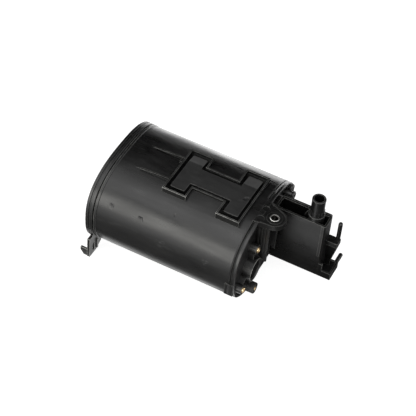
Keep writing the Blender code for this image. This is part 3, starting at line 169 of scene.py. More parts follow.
# %% [markdown]
# ## The studio
#
# Black plastic has almost no colour of its own, so what it shows is the room's reflection. The
# room is a pale floor and a white surround, with four soft boxes. A dark flag stands behind the
# canister, as a photographer would set one, because the top of the tank mirrors that part of the
# room and would otherwise turn grey. It starts just above the floor, so that the far edge of the
# tank still mirrors the white floor and fades into it. A white card lies in front of the filter
# housing, whose flat wall would otherwise mirror nothing but the canister's own shadow.
#
# The photograph's black skin mirrors a bright table, so the floor glows in reflections: behind
# the canister, in front of it, and right under the tank. It could be lit more strongly instead,
# but that would also fill the shadows. Matt surfaces don't see this glow.

# %% White surround
WHITE = (1.0, 1.0, 1.0, 1.0)
WORLD_LIGHT = 0.42

world = bpy.data.worlds.new("studio")
world.use_nodes = True
bpy.context.scene.world = world
sky = world.node_tree
sky.nodes.clear()
lighting = result(sky, "ShaderNodeBackground", {"Color": WHITE, "Strength": WORLD_LIGHT})
surround = result(sky, "ShaderNodeBackground", {"Color": WHITE, "Strength": 1.0})
chosen = result(sky, "ShaderNodeMixShader", {0: seen_directly(sky), 1: lighting, 2: surround})
add_node(sky, "ShaderNodeOutputWorld", {"Surface": chosen})
print("world light", WORLD_LIGHT)


# %% Flat scenery
CORNER_SIGNS = ((-1, -1), (1, -1), (1, 1), (-1, 1))


def emptied_material(name):
    """A material without nodes, and its tree."""
    material = bpy.data.materials.new(name)
    material.use_nodes = True
    material.node_tree.nodes.clear()
    return material, material.node_tree


def flat_piece(name, corners, material):
    """A flat object with four corners."""
    mesh = bpy.data.meshes.new(name)
    mesh.from_pydata(corners, [], [(0, 1, 2, 3)])
    mesh.materials.append(material)
    piece = bpy.data.objects.new(name, mesh)
    bpy.context.scene.collection.objects.link(piece)
    return piece


# %% The floor's glow in reflections
GLOW_BEHIND = 3.00           # strength on the floor behind the canister
GLOW_BEFORE = 1.25           # and on the floor well in front of it
GLOW_BEHIND_SPAN = (0.08, 0.32)      # where along Y each glow grows to its full strength;
GLOW_BEFORE_SPAN = (-0.07, -0.42)    # the floor between them keeps the canister's shadow
GLOW_BELOW = 1.15            # strength right under the tank
BELOW_ALONG = (0.185, 0.150)         # where along X and Y that glow grows to its full strength
BELOW_ACROSS = (-0.086, -0.073)


def smooth_step(tree, value, span, height=1.0):
    """Grows smoothly from 0 at the start of a span to a height at its end."""
    return result(tree, "ShaderNodeMapRange", {
        "Value": value, "From Min": span[0], "From Max": span[1], "To Max": height},
        interpolation_type="SMOOTHSTEP")


def floor_glow(tree):
    """How bright the floor is in reflections: behind, in front, and under the tank."""
    along, across = object_axes(tree)[:2]
    behind = smooth_step(tree, across, GLOW_BEHIND_SPAN, GLOW_BEHIND)
    before = smooth_step(tree, across, GLOW_BEFORE_SPAN, GLOW_BEFORE)
    below = times(tree, smooth_step(tree, along, BELOW_ALONG),
                  smooth_step(tree, across, BELOW_ACROSS))
    return larger(tree, larger(tree, behind, before), times(tree, below, GLOW_BELOW))


print("glow behind", GLOW_BEHIND, "before", GLOW_BEFORE, "below", GLOW_BELOW)

# %% Pale floor
FLOOR_GREY = 0.45
FLOOR_LIFT = 0.84            # added where the camera sees the floor, so that it comes out white
FLOOR_MIRRORED = 0.20        # share of the floor's grey that reflections see
FLOOR_HALF_SIZE = 6.0
FLOOR_GAP = 0.0002


def floor_finish():
    """A matt grey with a glow that only the camera and reflections see."""
    material, tree = emptied_material("pale_floor")
    hidden = seen_directly(tree, 0.0, 1.0 - FLOOR_MIRRORED)
    matt_grey = times(tree, maths(tree, "SUBTRACT", 1.0, hidden), FLOOR_GREY)
    matt = result(tree, "ShaderNodeBsdfDiffuse", {"Color": matt_grey})
    strength = seen_directly(tree, FLOOR_LIFT, floor_glow(tree))
    glow = result(tree, "ShaderNodeEmission", {"Color": WHITE, "Strength": strength})
    both = result(tree, "ShaderNodeAddShader", {0: matt, 1: glow})
    add_node(tree, "ShaderNodeOutputMaterial", {"Surface": both})
    return material


floor_height = cad_low[2] - FLOOR_GAP
floor = flat_piece("floor", [(x * FLOOR_HALF_SIZE, y * FLOOR_HALF_SIZE, floor_height)
                             for x, y in CORNER_SIGNS], floor_finish())
floor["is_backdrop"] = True
print("floor at", round(floor_height, 4))

# %% Soft boxes
TARGET = Vector((0.12, 0.0, 0.0))
WARM = (1.0, 0.99, 0.94)
NEUTRAL = (1.0, 1.0, 1.0)
SOFT_BOXES = {
    # name: (place, width, height, power in watts, colour)
    "front_box": ((-0.10, -1.15, 0.44), 1.7, 0.80, 14.0, WARM),
    "left_box": ((-1.25, -0.40, 0.85), 0.9, 0.9, 4.0, NEUTRAL),
    "right_box": ((1.30, -0.30, 0.90), 0.8, 0.8, 2.5, NEUTRAL),
    "top_box": ((0.10, -0.45, 1.55), 1.4, 0.9, 6.0, NEUTRAL),
}


def aim(item, place, target):
    """Puts an object at a place with its -Z pointing at a target."""
    turn = (Vector(target) - Vector(place)).to_track_quat("-Z", "Y")
    item.matrix_world = Matrix.Translation(place) @ turn.to_matrix().to_4x4()


for name, (place, width, height, power, colour) in SOFT_BOXES.items():
    lamp = bpy.data.lights.new(name, "AREA")
    lamp.color = colour
    lamp.shape = "RECTANGLE"
    lamp.size = width
    lamp.size_y = height
    lamp.energy = power
    item = bpy.data.objects.new(name, lamp)
    bpy.context.scene.collection.objects.link(item)
    aim(item, place, TARGET)
print(len(SOFT_BOXES), "soft boxes")

# %% The flag and the bounce card
FLAG_PLACE = Vector((-0.30, 1.25, 1.55))
FLAG_SIZE = (3.0, 2.95)
FLAG_BRIGHTNESS = 0.008
CARD_CORNERS = ((0.172, -0.095), (0.244, -0.095), (0.244, -0.050), (0.172, -0.064))
CARD_LIFT = 0.0005
CARD_BRIGHTNESS = 1.90


def reflected_panel(name, corners, brightness):
    """A flat panel that only reflections see, dark cloth or a lit card."""
    material, tree = emptied_material(name)
    lit = result(tree, "ShaderNodeEmission", {"Color": WHITE, "Strength": brightness})
    add_node(tree, "ShaderNodeOutputMaterial", {"Surface": lit})
    panel = flat_piece(name, corners, material)
    panel.visible_camera = False
    panel.visible_diffuse = False
    panel.visible_shadow = False
    panel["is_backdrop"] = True


reflected_panel("flag", [FLAG_PLACE + Vector((x * FLAG_SIZE[0], 0, z * FLAG_SIZE[1])) / 2
                         for x, z in CORNER_SIGNS], FLAG_BRIGHTNESS)
card_height = cad_low[2] + CARD_LIFT
reflected_panel("bounce_card", [(x, y, card_height) for x, y in CARD_CORNERS], CARD_BRIGHTNESS)
bpy.context.scene.view_settings.view_transform = "Standard"
print("flag", FLAG_SIZE[0], "by", FLAG_SIZE[1], "and card at", round(card_height, 4))

# %% [markdown]
# ## Moulded black nylon
#
# The tank, its cap and the filter housing are nylon filled with glass fibre. The mould was
# spark-eroded, so the skin has a fine pebbled grain. Fibres that reach the skin leave pale
# streaks in the direction in which the plastic flowed. Handling rubs the edges paler and leaves
# fine scratches and scuffs. Paler edges also stand in as painted highlight, hollows and some
# boxes get painted shade, and a few places a painted sheen. All of this could be painted on an
# image, but noise textures on Object coordinates stay sharp at any distance and need no
# unwrapping.

# %% Noise and ranges
UNSTRETCHED = (1.0, 1.0, 1.0)


def object_place(tree, scale=UNSTRETCHED):
    """Object coordinates, stretched by a scale."""
    place = result(tree, "ShaderNodeTexCoord", output="Object")
    return result(tree, "ShaderNodeMapping", {"Vector": place, "Scale": scale})


def noise(tree, scale, detail=2.0, stretch=UNSTRETCHED, roughness=0.5):
    """Noise from 0 to 1; the scale is in waves a metre."""
    return result(tree, "ShaderNodeTexNoise", {
        "Vector": object_place(tree, stretch), "Scale": scale, "Detail": detail,
        "Roughness": roughness}, "Fac")


def between(tree, value, low, high, out_low=0.0, out_high=1.0):
    """Maps a value from one range to another, held at the ends."""
    return result(tree, "ShaderNodeMapRange", {
        "Value": value, "From Min": low, "From Max": high,
        "To Min": out_low, "To Max": out_high})


# %% Colour and relief
BEVEL_RAYS = 6


def grey(value):
    """A grey that covers fully."""
    return (value, value, value, 1.0)


def blend_colours(tree, share, first, second):
    """Mixes two colours, each a tuple or a socket."""
    return result(tree, "ShaderNodeMix", {0: share, 6: first, 7: second}, 2, data_type="RGBA")


def bump(tree, height, distance, normal=None):
    """Turns a height from 0 to 1 into a tilt of the surface; the distance is in metres."""
    inputs = {"Height": height, "Distance": distance, "Strength": 1.0}
    if normal is not None:
        inputs["Normal"] = normal
    return result(tree, "ShaderNodeBump", inputs)


def rounded_normal(tree, radius):
    """The surface's normal with its sharp edges rounded off."""
    return result(tree, "ShaderNodeBevel", {"Radius": radius}, samples=BEVEL_RAYS)


def new_material(name):
    """A material with the usual shader, its tree, and that shader."""
    material = bpy.data.materials.new(name)
    material.use_nodes = True
    return material, material.node_tree, material.node_tree.nodes["Principled BSDF"]


# %% [markdown]
# ### Where the skin changes
#
# A mask says where on a piece something happens, from 0 to 1. It can come from the shape, as
# worn edges do, or from a place, as a dent does. Places could be painted by hand, but a few
# boxes and spots in metres are easier to read and to move.

# %% Masks from the shape
EDGE_RANGE = (0.92, 0.62)
HOLLOW_RANGE = (0.90, 0.40)
MASK_RAYS = 8


def edge_mask(tree, reach):
    """1 along edges that stand out, 0 on flat stretches, where rays shot inwards meet nothing."""
    inward = result(tree, "ShaderNodeAmbientOcclusion", {"Distance": reach}, "AO",
                    samples=MASK_RAYS, inside=True, only_local=True)
    return between(tree, inward, *EDGE_RANGE)


def hollow_shade_mask(tree, reach):
    """1 deep in corners and grooves and 0 in the open; it marks where shade is painted."""
    outward = result(tree, "ShaderNodeAmbientOcclusion", {"Distance": reach}, "AO",
                     samples=MASK_RAYS)
    return between(tree, outward, *HOLLOW_RANGE)


print("the shape is felt with", MASK_RAYS, "rays")

# %% Masks from boxes
REGION_FADE = 0.0012
HEIGHT_FADE = REGION_FADE / 6        # up and down the fade is shorter


def within(tree, value, low, high, fade):
    """1 where a value lies between two others, fading out over a short way past them."""
    return times(tree, between(tree, value, low - fade, low),
                 between(tree, value, high + fade, high))


def region_mask(tree, boxes):
    """1 inside any of some boxes, each (low corner, high corner)."""
    axes = object_axes(tree)
    total = None
    for low, high in boxes:
        inside = within(tree, axes[0], low[0], high[0], REGION_FADE)
        inside = times(tree, inside, within(tree, axes[1], low[1], high[1], REGION_FADE))
        inside = times(tree, inside, within(tree, axes[2], low[2], high[2], HEIGHT_FADE))
        total = inside if total is None else larger(tree, total, inside)
    return total


print("boxes fade over", REGION_FADE, "m, and over", round(HEIGHT_FADE, 4), "m in height")

# %% Masks from spots
SPOT_RIPPLES = 260.0         # ripples a metre in the outline of a spot
SPOT_RIPPLE = 0.004          # how far they move it
SCRATCH_SCALE = 700
SCRATCH_STRETCH = (0.3, 1.0, 1.0)
SCRATCH_RANGE = (0.50, 0.66)
SCUFF_CORE = 0.35            # share of a spot's radius that is fully marked


def spot_mask(tree, spots, core):
    """1 in the middle of each spot (place, radius), 0 outside it, with an unsteady outline."""
    place = object_place(tree)
    waves = result(tree, "ShaderNodeTexNoise", {
        "Vector": place, "Scale": SPOT_RIPPLES, "Detail": 2.0}, "Color")
    place = vector_maths(tree, "ADD", place, vector_maths(tree, "SCALE", waves, SPOT_RIPPLE))
    place = vector_maths(tree, "SUBTRACT", place, (SPOT_RIPPLE / 2,) * 3)
    total = None
    for centre, radius in spots:
        far = vector_maths(tree, "DISTANCE", place, centre, "Value")
        near = between(tree, far, radius, radius * core)
        total = near if total is None else larger(tree, total, near)
    return total


def scuff_mask(tree, scuffs):
    """Fine rubbed marks within a short distance of each place."""
    scratches = between(tree, noise(tree, SCRATCH_SCALE, 4, SCRATCH_STRETCH), *SCRATCH_RANGE)
    return times(tree, spot_mask(tree, scuffs, SCUFF_CORE), scratches)


print("a spot's outline moves by up to", SPOT_RIPPLE / 2, "m")

# %% [markdown]
# ### Layers of the nylon
#
# The nylon's look is built up in layers, as a painter glazes a model: first the bare skin with
# its blotches, fibres and flow lines, then painted shade in hollows and some boxes, a painted
# sheen in others, pale edges that are partly wear and partly painted highlight, stains and
# scuffs. Each layer tints the colour or makes the skin duller or smoother. The flow lines show
# in the gloss alone. Round the bolt's tab less of the pale edge is painted.
#
# The relief comes last. The tank's wall rounds off beside the groove at the port-end rim. A
# bump across that narrow band is enough for it, and leaves the solid as it is.

# %% The bare skin
BLOTCH_SCALE = 30
BLOTCH_STRETCH = (0.45, 1.0, 1.0)
BLOTCH_RANGE = (0.3, 0.7)
BLOTCH_TONES = (0.78, 1.25)
FIBRE_SCALE = 260
FIBRE_STRETCH = (0.25, 1.0, 1.0)
FIBRE_RANGE = (0.56, 0.74)
FIBRE_SHARE = 0.35
FIBRE_TONE = 3.2
FIBRE_DULLNESS = 0.25
LINE_SCALE = 120             # long faint lines along the flow, seen only in the gloss
LINE_STRETCH = (0.14, 1.0, 1.0)
LINE_RANGE = (0.35, 0.65)
LINE_DULLNESS = 0.055


def tint(tree, skin, share, colour):
    """Blends a colour into the skin."""
    skin["colour"] = blend_colours(tree, share, skin["colour"], colour)


def roughen(tree, skin, amount):
    """Makes the skin duller, or smoother by a negative amount."""
    skin["roughness"] = maths(tree, "ADD", skin["roughness"], amount)


def bare_skin(tree, tone, roughness, streaks, uneven):
    """Colour and roughness of unmarked nylon."""
    blotch = noise(tree, BLOTCH_SCALE, 3, BLOTCH_STRETCH)
    flow = noise(tree, FIBRE_SCALE, 4, FIBRE_STRETCH, 0.6)
    fibre = times(tree, between(tree, flow, *FIBRE_RANGE), FIBRE_SHARE * streaks)
    dark, pale = (grey(tone * share) for share in BLOTCH_TONES)
    skin = {"colour": blend_colours(tree, blotch, dark, pale),
            "roughness": between(tree, blotch, *BLOTCH_RANGE,
                                 roughness - uneven, roughness + uneven)}
    tint(tree, skin, fibre, grey(tone * FIBRE_TONE))
    roughen(tree, skin, times(tree, fibre, FIBRE_DULLNESS))
    lines = noise(tree, LINE_SCALE, 3, LINE_STRETCH, 0.6)
    dullness = LINE_DULLNESS * streaks
    roughen(tree, skin, between(tree, lines, *LINE_RANGE, -dullness, dullness))
    return skin


print("a fibre is", FIBRE_TONE, "times as pale as the nylon")

# %% Worn edges and painted highlights
WORN_REACH = 0.0008
WORN_LIT_SHARE = 0.46
WORN_LIT_COLOUR = (0.220, 0.220, 0.212, 1)
RUBBED_LIT_COLOUR = (0.36, 0.36, 0.345, 1)   # where an edge is rubbed down to pale fibres and painted paler still as highlight
WEAR_PATCHES = 90
WEAR_RANGE = (0.30, 0.60)
WEAR_LEAST = 0.35            # share of the pale edge in its weakest patches
DIMMER_EDGE_SHARE = 0.35           # share of the pale edges, wear and painted highlight, left in some boxes


def worn_and_lit_edges(tree, wear_and_light, dimmer_edges):
    """Where edges are paler, partly from wear and partly as painted highlight, in patches, and
    less in some boxes.
    """
    patches = between(tree, noise(tree, WEAR_PATCHES), *WEAR_RANGE, WEAR_LEAST * wear_and_light, wear_and_light)
    worn_lit = times(tree, edge_mask(tree, WORN_REACH), patches)
    if dimmer_edges:
        left = between(tree, region_mask(tree, dimmer_edges), 0.0, 1.0, 1.0, DIMMER_EDGE_SHARE)
        worn_lit = times(tree, worn_lit, left)
    return worn_lit


print("edges are worn over", WORN_REACH, "m")

# %% Stains and scuffs
STAIN_CORE = 0.1
STAIN_PATCHES = 70
STAIN_RANGE = (0.36, 0.66)
STAIN_SHARE = 0.5
STAIN_TONE = 0.35
STAIN_POLISH = 0.06
SCUFF_SHARE = 0.38
SCUFF_GREY = 0.11
SCUFF_DULLNESS = 0.2


def stain(tree, skin, tone, spots):
    """Darker and smoother patches, as oil or water leaves them."""
    patches = between(tree, noise(tree, STAIN_PATCHES), *STAIN_RANGE)
    wet = times(tree, spot_mask(tree, spots, STAIN_CORE), patches)
    tint(tree, skin, times(tree, wet, STAIN_SHARE), grey(tone * STAIN_TONE))
    roughen(tree, skin, times(tree, wet, -STAIN_POLISH))


def scuff(tree, skin, spots):
    """Paler and duller scratches."""
    scraped = scuff_mask(tree, spots)
    tint(tree, skin, times(tree, scraped, SCUFF_SHARE), grey(SCUFF_GREY))
    roughen(tree, skin, times(tree, scraped, SCUFF_DULLNESS))


print("a stain leaves", STAIN_TONE, "of the tone")

# %% Relief
EDGE_ROUNDING = 0.00045
GRAIN_SCALE = 1500           # pebbles a metre
GRAIN_HEIGHT = 0.00003
SINK_SCALE = 38              # slow waves of the cooled wall
SINK_HEIGHT = 0.00036
DENT_CORE = 0.1
DENT_DEPTH = 0.0008
NECK_WIDTH = 0.0022          # half the width of the rounded band at the rim's groove
NECK_DEPTH = 0.0018
NECK_STOPS = (((0.1790, -0.0269, 0.0490), (0.1900, 0.0104, 0.0600)),)    # the tab crosses it


def neck_height(tree, middle):
    """A height: 0 in the middle of a band round the tank, 1 past its width and on the tab."""
    off = maths(tree, "ABSOLUTE", maths(tree, "SUBTRACT", object_axes(tree)[0], middle))
    return larger(tree, between(tree, off, 0.0, NECK_WIDTH), region_mask(tree, NECK_STOPS))


def relief(tree, grain, dents, neck):
    """The skin's normal: rounded edges, slow waves, dents, a band round the tank, and grain."""
    normal = bump(tree, noise(tree, SINK_SCALE, 1), SINK_HEIGHT,
                  rounded_normal(tree, EDGE_ROUNDING))
    if dents:
        whole = maths(tree, "SUBTRACT", 1.0, spot_mask(tree, dents, DENT_CORE))
        normal = bump(tree, whole, DENT_DEPTH, normal)
    if neck:
        normal = bump(tree, neck_height(tree, neck), NECK_DEPTH, normal)
    return bump(tree, noise(tree, GRAIN_SCALE, 1), GRAIN_HEIGHT * grain, normal)


print("a pebble is about", round(1 / GRAIN_SCALE, 5), "m wide")

# %% All layers together
HOLLOW_REACH = 0.004
# share of the tone left deep in hollows, as painted shade
HOLLOW_SHADE_TONE = 0.3
# lighter tone for a painted sheen
PAINTED_SHEEN_TONE = 4.0
PAINTED_SHADE_TONE = 0.25        # share of the tone left where shade is painted
PAINTED_SHADE_POLISH = 0.12      # and how much smoother they are


def black_nylon(name, tone, roughness, places=None, grain=1.0, streaks=1.0, uneven=0.08,
                wear_and_light=1.0):
    """Glass-filled black nylon.

    In places, scuffs, dents and stains are spots (place, radius), the neck is a place along X,
    and the other entries are boxes (low, high): where shade is painted, where edges are painted
    paler as highlight on top of wear, where a sheen is painted, and where edges get less of that.
    """
    places = places or {}
    material, tree, shader = new_material(name)
    skin = bare_skin(tree, tone, roughness, streaks, uneven)
    worn_lit = worn_and_lit_edges(tree, wear_and_light, places.get("dimmer_edges"))
    # painted sheen: boxes marked pale are lightened where the surface bends away
    if "pale" in places:
        tint(tree, skin, region_mask(tree, places["pale"]), grey(tone * PAINTED_SHEEN_TONE))
    # painted shade: the colour darkens in corners and grooves
    tint(tree, skin, hollow_shade_mask(tree, HOLLOW_REACH), grey(tone * HOLLOW_SHADE_TONE))
    # painted shade: some boxes are darkened and made smoother
    if "painted_shade" in places:
        shade_boxes = region_mask(tree, places["painted_shade"])
        tint(tree, skin, shade_boxes, grey(tone * PAINTED_SHADE_TONE))
        roughen(tree, skin, times(tree, shade_boxes, -PAINTED_SHADE_POLISH))
    # pale edges: partly wear, partly painted highlight
    tint(tree, skin, times(tree, worn_lit, WORN_LIT_SHARE), WORN_LIT_COLOUR)
    # painted highlight: edges in these boxes are painted paler still, partly as rubbed wear
    if "rubbed_lit" in places:
        rubbed_lit = times(tree, worn_lit, region_mask(tree, places["rubbed_lit"]))
        tint(tree, skin, rubbed_lit, RUBBED_LIT_COLOUR)
    if "stains" in places:
        stain(tree, skin, tone, places["stains"])
    if "scuffs" in places:
        scuff(tree, skin, places["scuffs"])
    normal = relief(tree, grain, places.get("dents"), places.get("neck"))
    tree.links.new(skin["colour"], shader.inputs["Base Color"])
    tree.links.new(skin["roughness"], shader.inputs["Roughness"])
    tree.links.new(normal, shader.inputs["Normal"])
    return material


print("hollows darken within", HOLLOW_REACH, "m")

# %% Places on the tank and the cap
PANEL_LEGS = (
    # the raised H from above, two legs and a bar: (low, high) along X and Y
    ((0.0743, -0.0373), (0.1033, 0.0327)),
    ((0.0743, -0.0208), (0.1705, 0.0162)),
    ((0.1420, -0.0413), (0.1705, 0.0367)),
)
PANEL_TOP = 0.0566
# boxes where shade is painted: the channel inside the H's wall and the sides of the runners
PANEL_PAINTED_SHADE = tuple(((*low, PANEL_TOP - 0.0170), (*high, PANEL_TOP - 0.0007))
                      for low, high in PANEL_LEGS)
# edges painted paler as highlight, partly as rubbed wear: the H's near walls, the port's mouth
# and, below, the leg
PANEL_NEAR_WALLS = (((0.0740, -0.0376, 0.0550), (0.1036, -0.0352, 0.0570)),
                    ((0.1417, -0.0416, 0.0550), (0.1708, -0.0392, 0.0570)))
RUNNER_PAINTED_SHADE = (((0.0400, -0.0238, 0.0480), (0.0743, -0.0214, 0.0564)),
                  ((0.0400, 0.0132, 0.0480), (0.0743, 0.0156, 0.0564)))
PORT_MOUTH = (((0.1938, -0.0530, -0.0225), (0.1965, -0.0238, 0.0070)),)
TANK_PLACES = {
    "scuffs": (((0.0275, -0.0670, 0.0314), 0.008), ((0.0940, -0.0744, 0.0121), 0.007),
               ((0.1500, -0.0742, 0.0131), 0.006), ((0.0560, -0.0700, 0.0270), 0.006)),
    "dents": (((0.0285, -0.0682, 0.0300), 0.0040), ((0.0665, -0.0683, 0.0295), 0.0026),
              ((0.0640, -0.0678, 0.0305), 0.0020), ((0.1005, -0.0547, 0.0428), 0.0018)),
    "stains": (((0.0190, -0.0160, 0.0535), 0.016), ((0.0420, -0.0330, 0.0520), 0.012),
               ((0.0300, 0.0100, 0.0540), 0.013)),
    "painted_shade": PANEL_PAINTED_SHADE + RUNNER_PAINTED_SHADE,
    "rubbed_lit": PANEL_NEAR_WALLS + PORT_MOUTH,
    # less of the pale edge paint, wear and highlight, round the bolt's tab
    "dimmer_edges": (((0.1800, -0.0300, -0.0100), (0.2160, 0.0120, 0.0600)),),    # the bolt's tab
    "neck": 0.1819,                                  # the groove before the port-end rim
}
# the leg's edges get the same painted highlight
LEG_PLACE = (((-0.0100, -0.0820, -0.0620), (0.0230, -0.0560, -0.0300)),)
CAP_PLACES = {"rubbed_lit": LEG_PLACE}
print("tank marked at", sum(len(TANK_PLACES[kind]) for kind in ("scuffs", "dents", "stains")),
      "spots")

# %% Dress the nylon pieces
NYLON_TONE = 0.0065
CAP_TONE = 0.0075
HOUSING_TONE = 0.0032


def dress(name, material):
    """Gives a CAD node one material."""
    node = nodes[name]
    node.data.materials.clear()
    node.data.materials.append(material)


tank_nylon = black_nylon("tank_nylon", NYLON_TONE, 0.34, TANK_PLACES, uneven=0.10)
cap_nylon = black_nylon("cap_nylon", CAP_TONE, 0.34, CAP_PLACES, streaks=0.4)
housing_nylon = black_nylon("housing_nylon", HOUSING_TONE, 0.30, grain=0.7, streaks=0.6)
dress("tank_shell", tank_nylon)
dress("end_cap", cap_nylon)
dress("filter_housing", housing_nylon)
dress("housing_cover", housing_nylon)
print("tones", NYLON_TONE, CAP_TONE, HOUSING_TONE)

# %% [markdown]
# ## Metal fittings
#
# Three brass inserts take the vent valve's screws, and a steel bushing carries the load of the
# mounting bolt. Turned metal keeps fine rings from the tool, so the roughness and the bump both
# follow rings about each piece's own axis.

# %% Turned metal
RING_SCALE = 5200
RING_STRETCH = 0.12          # across the axis, so that the noise runs in rings
RING_RANGE = (0.3, 0.7)
RING_SMOOTHER, RING_DULLER = 0.05, 0.08
RING_HEIGHT = 0.00001
METAL_ROUNDING = 0.00015
TARNISH_SCALE = 420
TARNISH_RANGE = (0.48, 0.70)
TARNISH_SHARE = 0.6
TARNISH_DULLNESS = 0.18
# painted shade inside a bore
BORE_SHADE_COLOUR = (0.030, 0.028, 0.026, 1)
BORE_FADE = 1.06


def bore_shade_mask(tree, axis, centre, radius):
    """1 within a radius of a line through a centre, along an axis, where shade is painted in a
    bore.
    """
    flat = tuple(0.0 if letter == axis else 1.0 for letter in "XYZ")
    off = vector_maths(tree, "SUBTRACT", object_place(tree), centre)
    away = vector_maths(tree, "LENGTH", vector_maths(tree, "MULTIPLY", off, flat),
                        output="Value")
    return between(tree, away, radius * BORE_FADE, radius)


def turned_metal(name, colour, roughness, axis, tarnish, shaded_bore=None):
    """Metal turned about an axis; tarnish tints its duller patches, and the inside of a bore gets
    painted shade.
    """
    material, tree, shader = new_material(name)
    shader.inputs["Metallic"].default_value = 1.0
    stretch = tuple(1.0 if letter == axis else RING_STRETCH for letter in "XYZ")
    rings = noise(tree, RING_SCALE, 2, stretch)
    patches = between(tree, noise(tree, TARNISH_SCALE, 3), *TARNISH_RANGE)
    tinted = blend_colours(tree, times(tree, patches, TARNISH_SHARE), colour, tarnish)
    if shaded_bore:
        tinted = blend_colours(tree, bore_shade_mask(tree, axis, *shaded_bore), tinted, BORE_SHADE_COLOUR)
    rough = between(tree, rings, *RING_RANGE, roughness - RING_SMOOTHER, roughness + RING_DULLER)
    rough = maths(tree, "ADD", rough, times(tree, patches, TARNISH_DULLNESS))
    normal = bump(tree, rings, RING_HEIGHT, rounded_normal(tree, METAL_ROUNDING))
    tree.links.new(tinted, shader.inputs["Base Color"])
    tree.links.new(rough, shader.inputs["Roughness"])
    tree.links.new(normal, shader.inputs["Normal"])
    return material


print("rings are about", round(1 / RING_SCALE, 5), "m apart")

# %% Dress the metal pieces
BRASS_COLOUR, BRASS_TARNISH = (0.82, 0.63, 0.37, 1), (0.42, 0.25, 0.10, 1)
STEEL_COLOUR, STEEL_TARNISH = (0.72, 0.72, 0.70, 1), (0.42, 0.41, 0.38, 1)
SPRING_COLOUR, SPRING_TARNISH = (0.36, 0.36, 0.37, 1), (0.16, 0.13, 0.11, 1)
BUSHING_BORE = 0.00405

bushing_low, bushing_high = (Vector(corner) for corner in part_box("tab_bushing"))
# the bushing's bore is darkened as painted shade
bushing_bore_shade = ((bushing_low + bushing_high) / 2, BUSHING_BORE)
brass = turned_metal("turned_brass", BRASS_COLOUR, roughness=0.26, axis="X",
                     tarnish=BRASS_TARNISH)
steel = turned_metal("plated_steel", STEEL_COLOUR, roughness=0.24, axis="Z",
                     tarnish=STEEL_TARNISH, shaded_bore=bushing_bore_shade)
spring_wire = turned_metal("spring_wire", SPRING_COLOUR, roughness=0.34, axis="X",
                           tarnish=SPRING_TARNISH)
insert_names = [name for name in nodes if name.startswith("vent_insert")]
for name in insert_names:
    dress(name, brass)
for name in nodes:
    if name.startswith("spring"):
        dress(name, spring_wire)
dress("tab_bushing", steel)
print("brass on", insert_names)

# %% [markdown]
# ## What lies inside
#
# Fleece holds the carbon back at the ports, perforated plates press on it, and foam cleans the
# air in the filter housing. They show only through the open ports. Each still gets its own
# finish, because the pieces can be taken out and looked at.

# %% Fibres, grains and foam
FILL_STRETCH = (1.0, 0.3, 1.0)
FILL_RANGE = (0.1, 0.8)
FILL_ROUGHNESS = (0.82, 0.98)
FLEECE_DARK, FLEECE_PALE = (0.42, 0.42, 0.39, 1), (0.82, 0.82, 0.78, 1)


def soft_fill(name, dark, pale, scale, height, cells=False):
    """A matt filling: fibres from stretched noise, or grains and pores from cells."""
    material, tree, shader = new_material(name)
    if cells:
        grain = result(tree, "ShaderNodeTexVoronoi", {
            "Vector": object_place(tree), "Scale": scale})
    else:
        grain = noise(tree, scale, 5, FILL_STRETCH, 0.7)
    colour = blend_colours(tree, between(tree, grain, *FILL_RANGE), dark, pale)
    rough = between(tree, grain, 0.0, 1.0, *FILL_ROUGHNESS)
    tree.links.new(colour, shader.inputs["Base Color"])
    tree.links.new(rough, shader.inputs["Roughness"])
    tree.links.new(bump(tree, grain, height), shader.inputs["Normal"])
    return material


fleece = soft_fill("fleece", FLEECE_DARK, FLEECE_PALE, scale=900, height=0.0003)
carbon = soft_fill("carbon_grains", grey(0.004), grey(0.022), scale=650, height=0.0006,
                   cells=True)
foam = soft_fill("foam_pores", grey(0.012), grey(0.060), scale=900, height=0.0005, cells=True)
plate_nylon = black_nylon("plate_nylon", tone=0.055, roughness=0.5, grain=0.8)
rubber = black_nylon("seal_rubber", tone=0.012, roughness=0.62, grain=1.4, streaks=0.0)
INNER_FINISHES = {
    "carbon_bed": carbon, "port_fleece": fleece, "cap_fleece": fleece,
    "pressure_plate": plate_nylon, "foam_filter": foam, "passage_seal": rubber,
}
for name in nodes:
    for start, material in INNER_FINISHES.items():
        if name.startswith(start):
            dress(name, material)
print("finishes", sorted({node.data.materials[0].name for node in nodes.values()}))

# %% [markdown]
# ## Smooth curves, sharp corners
#
# The solids are made of flat facets. Shaded smooth all over they would look like soap, and
# shaded flat they would look cut. Geometry Nodes can mark every edge that turns by more than a
# set angle as sharp and shade the rest smooth. Weighted normals then keep the wide faces flat.

# %% A tree that shades by angle
SHARP_ANGLE = radians(34)


def shade_tree():
    """Shades faces smooth and keeps edges above an angle sharp."""
    tree = bpy.data.node_groups.new("shade_by_angle", "GeometryNodeTree")
    sockets = tree.interface
    sockets.new_socket("Geometry", in_out="INPUT", socket_type="NodeSocketGeometry")
    angle = sockets.new_socket("Sharp Angle", in_out="INPUT", socket_type="NodeSocketFloat")
    angle.default_value = SHARP_ANGLE
    sockets.new_socket("Geometry", in_out="OUTPUT", socket_type="NodeSocketGeometry")
    given = tree.nodes.new("NodeGroupInput").outputs
    smooth = result(tree, "GeometryNodeSetShadeSmooth", {
        "Geometry": given["Geometry"], "Shade Smooth": True}, domain="FACE")
    turn = result(tree, "GeometryNodeInputMeshEdgeAngle", output="Unsigned Angle")
    above = result(tree, "FunctionNodeCompare", {0: turn, 1: given["Sharp Angle"]},
                   data_type="FLOAT", operation="GREATER_THAN")
    sharp = result(tree, "GeometryNodeSetShadeSmooth", {
        "Geometry": smooth, "Selection": above, "Shade Smooth": False}, domain="EDGE")
    add_node(tree, "NodeGroupOutput", {"Geometry": sharp})
    return tree


shading = shade_tree()
print(shading.name, "has", len(shading.nodes), "nodes")

# %% Shade the nodes
WELD_DISTANCE = 0.000002


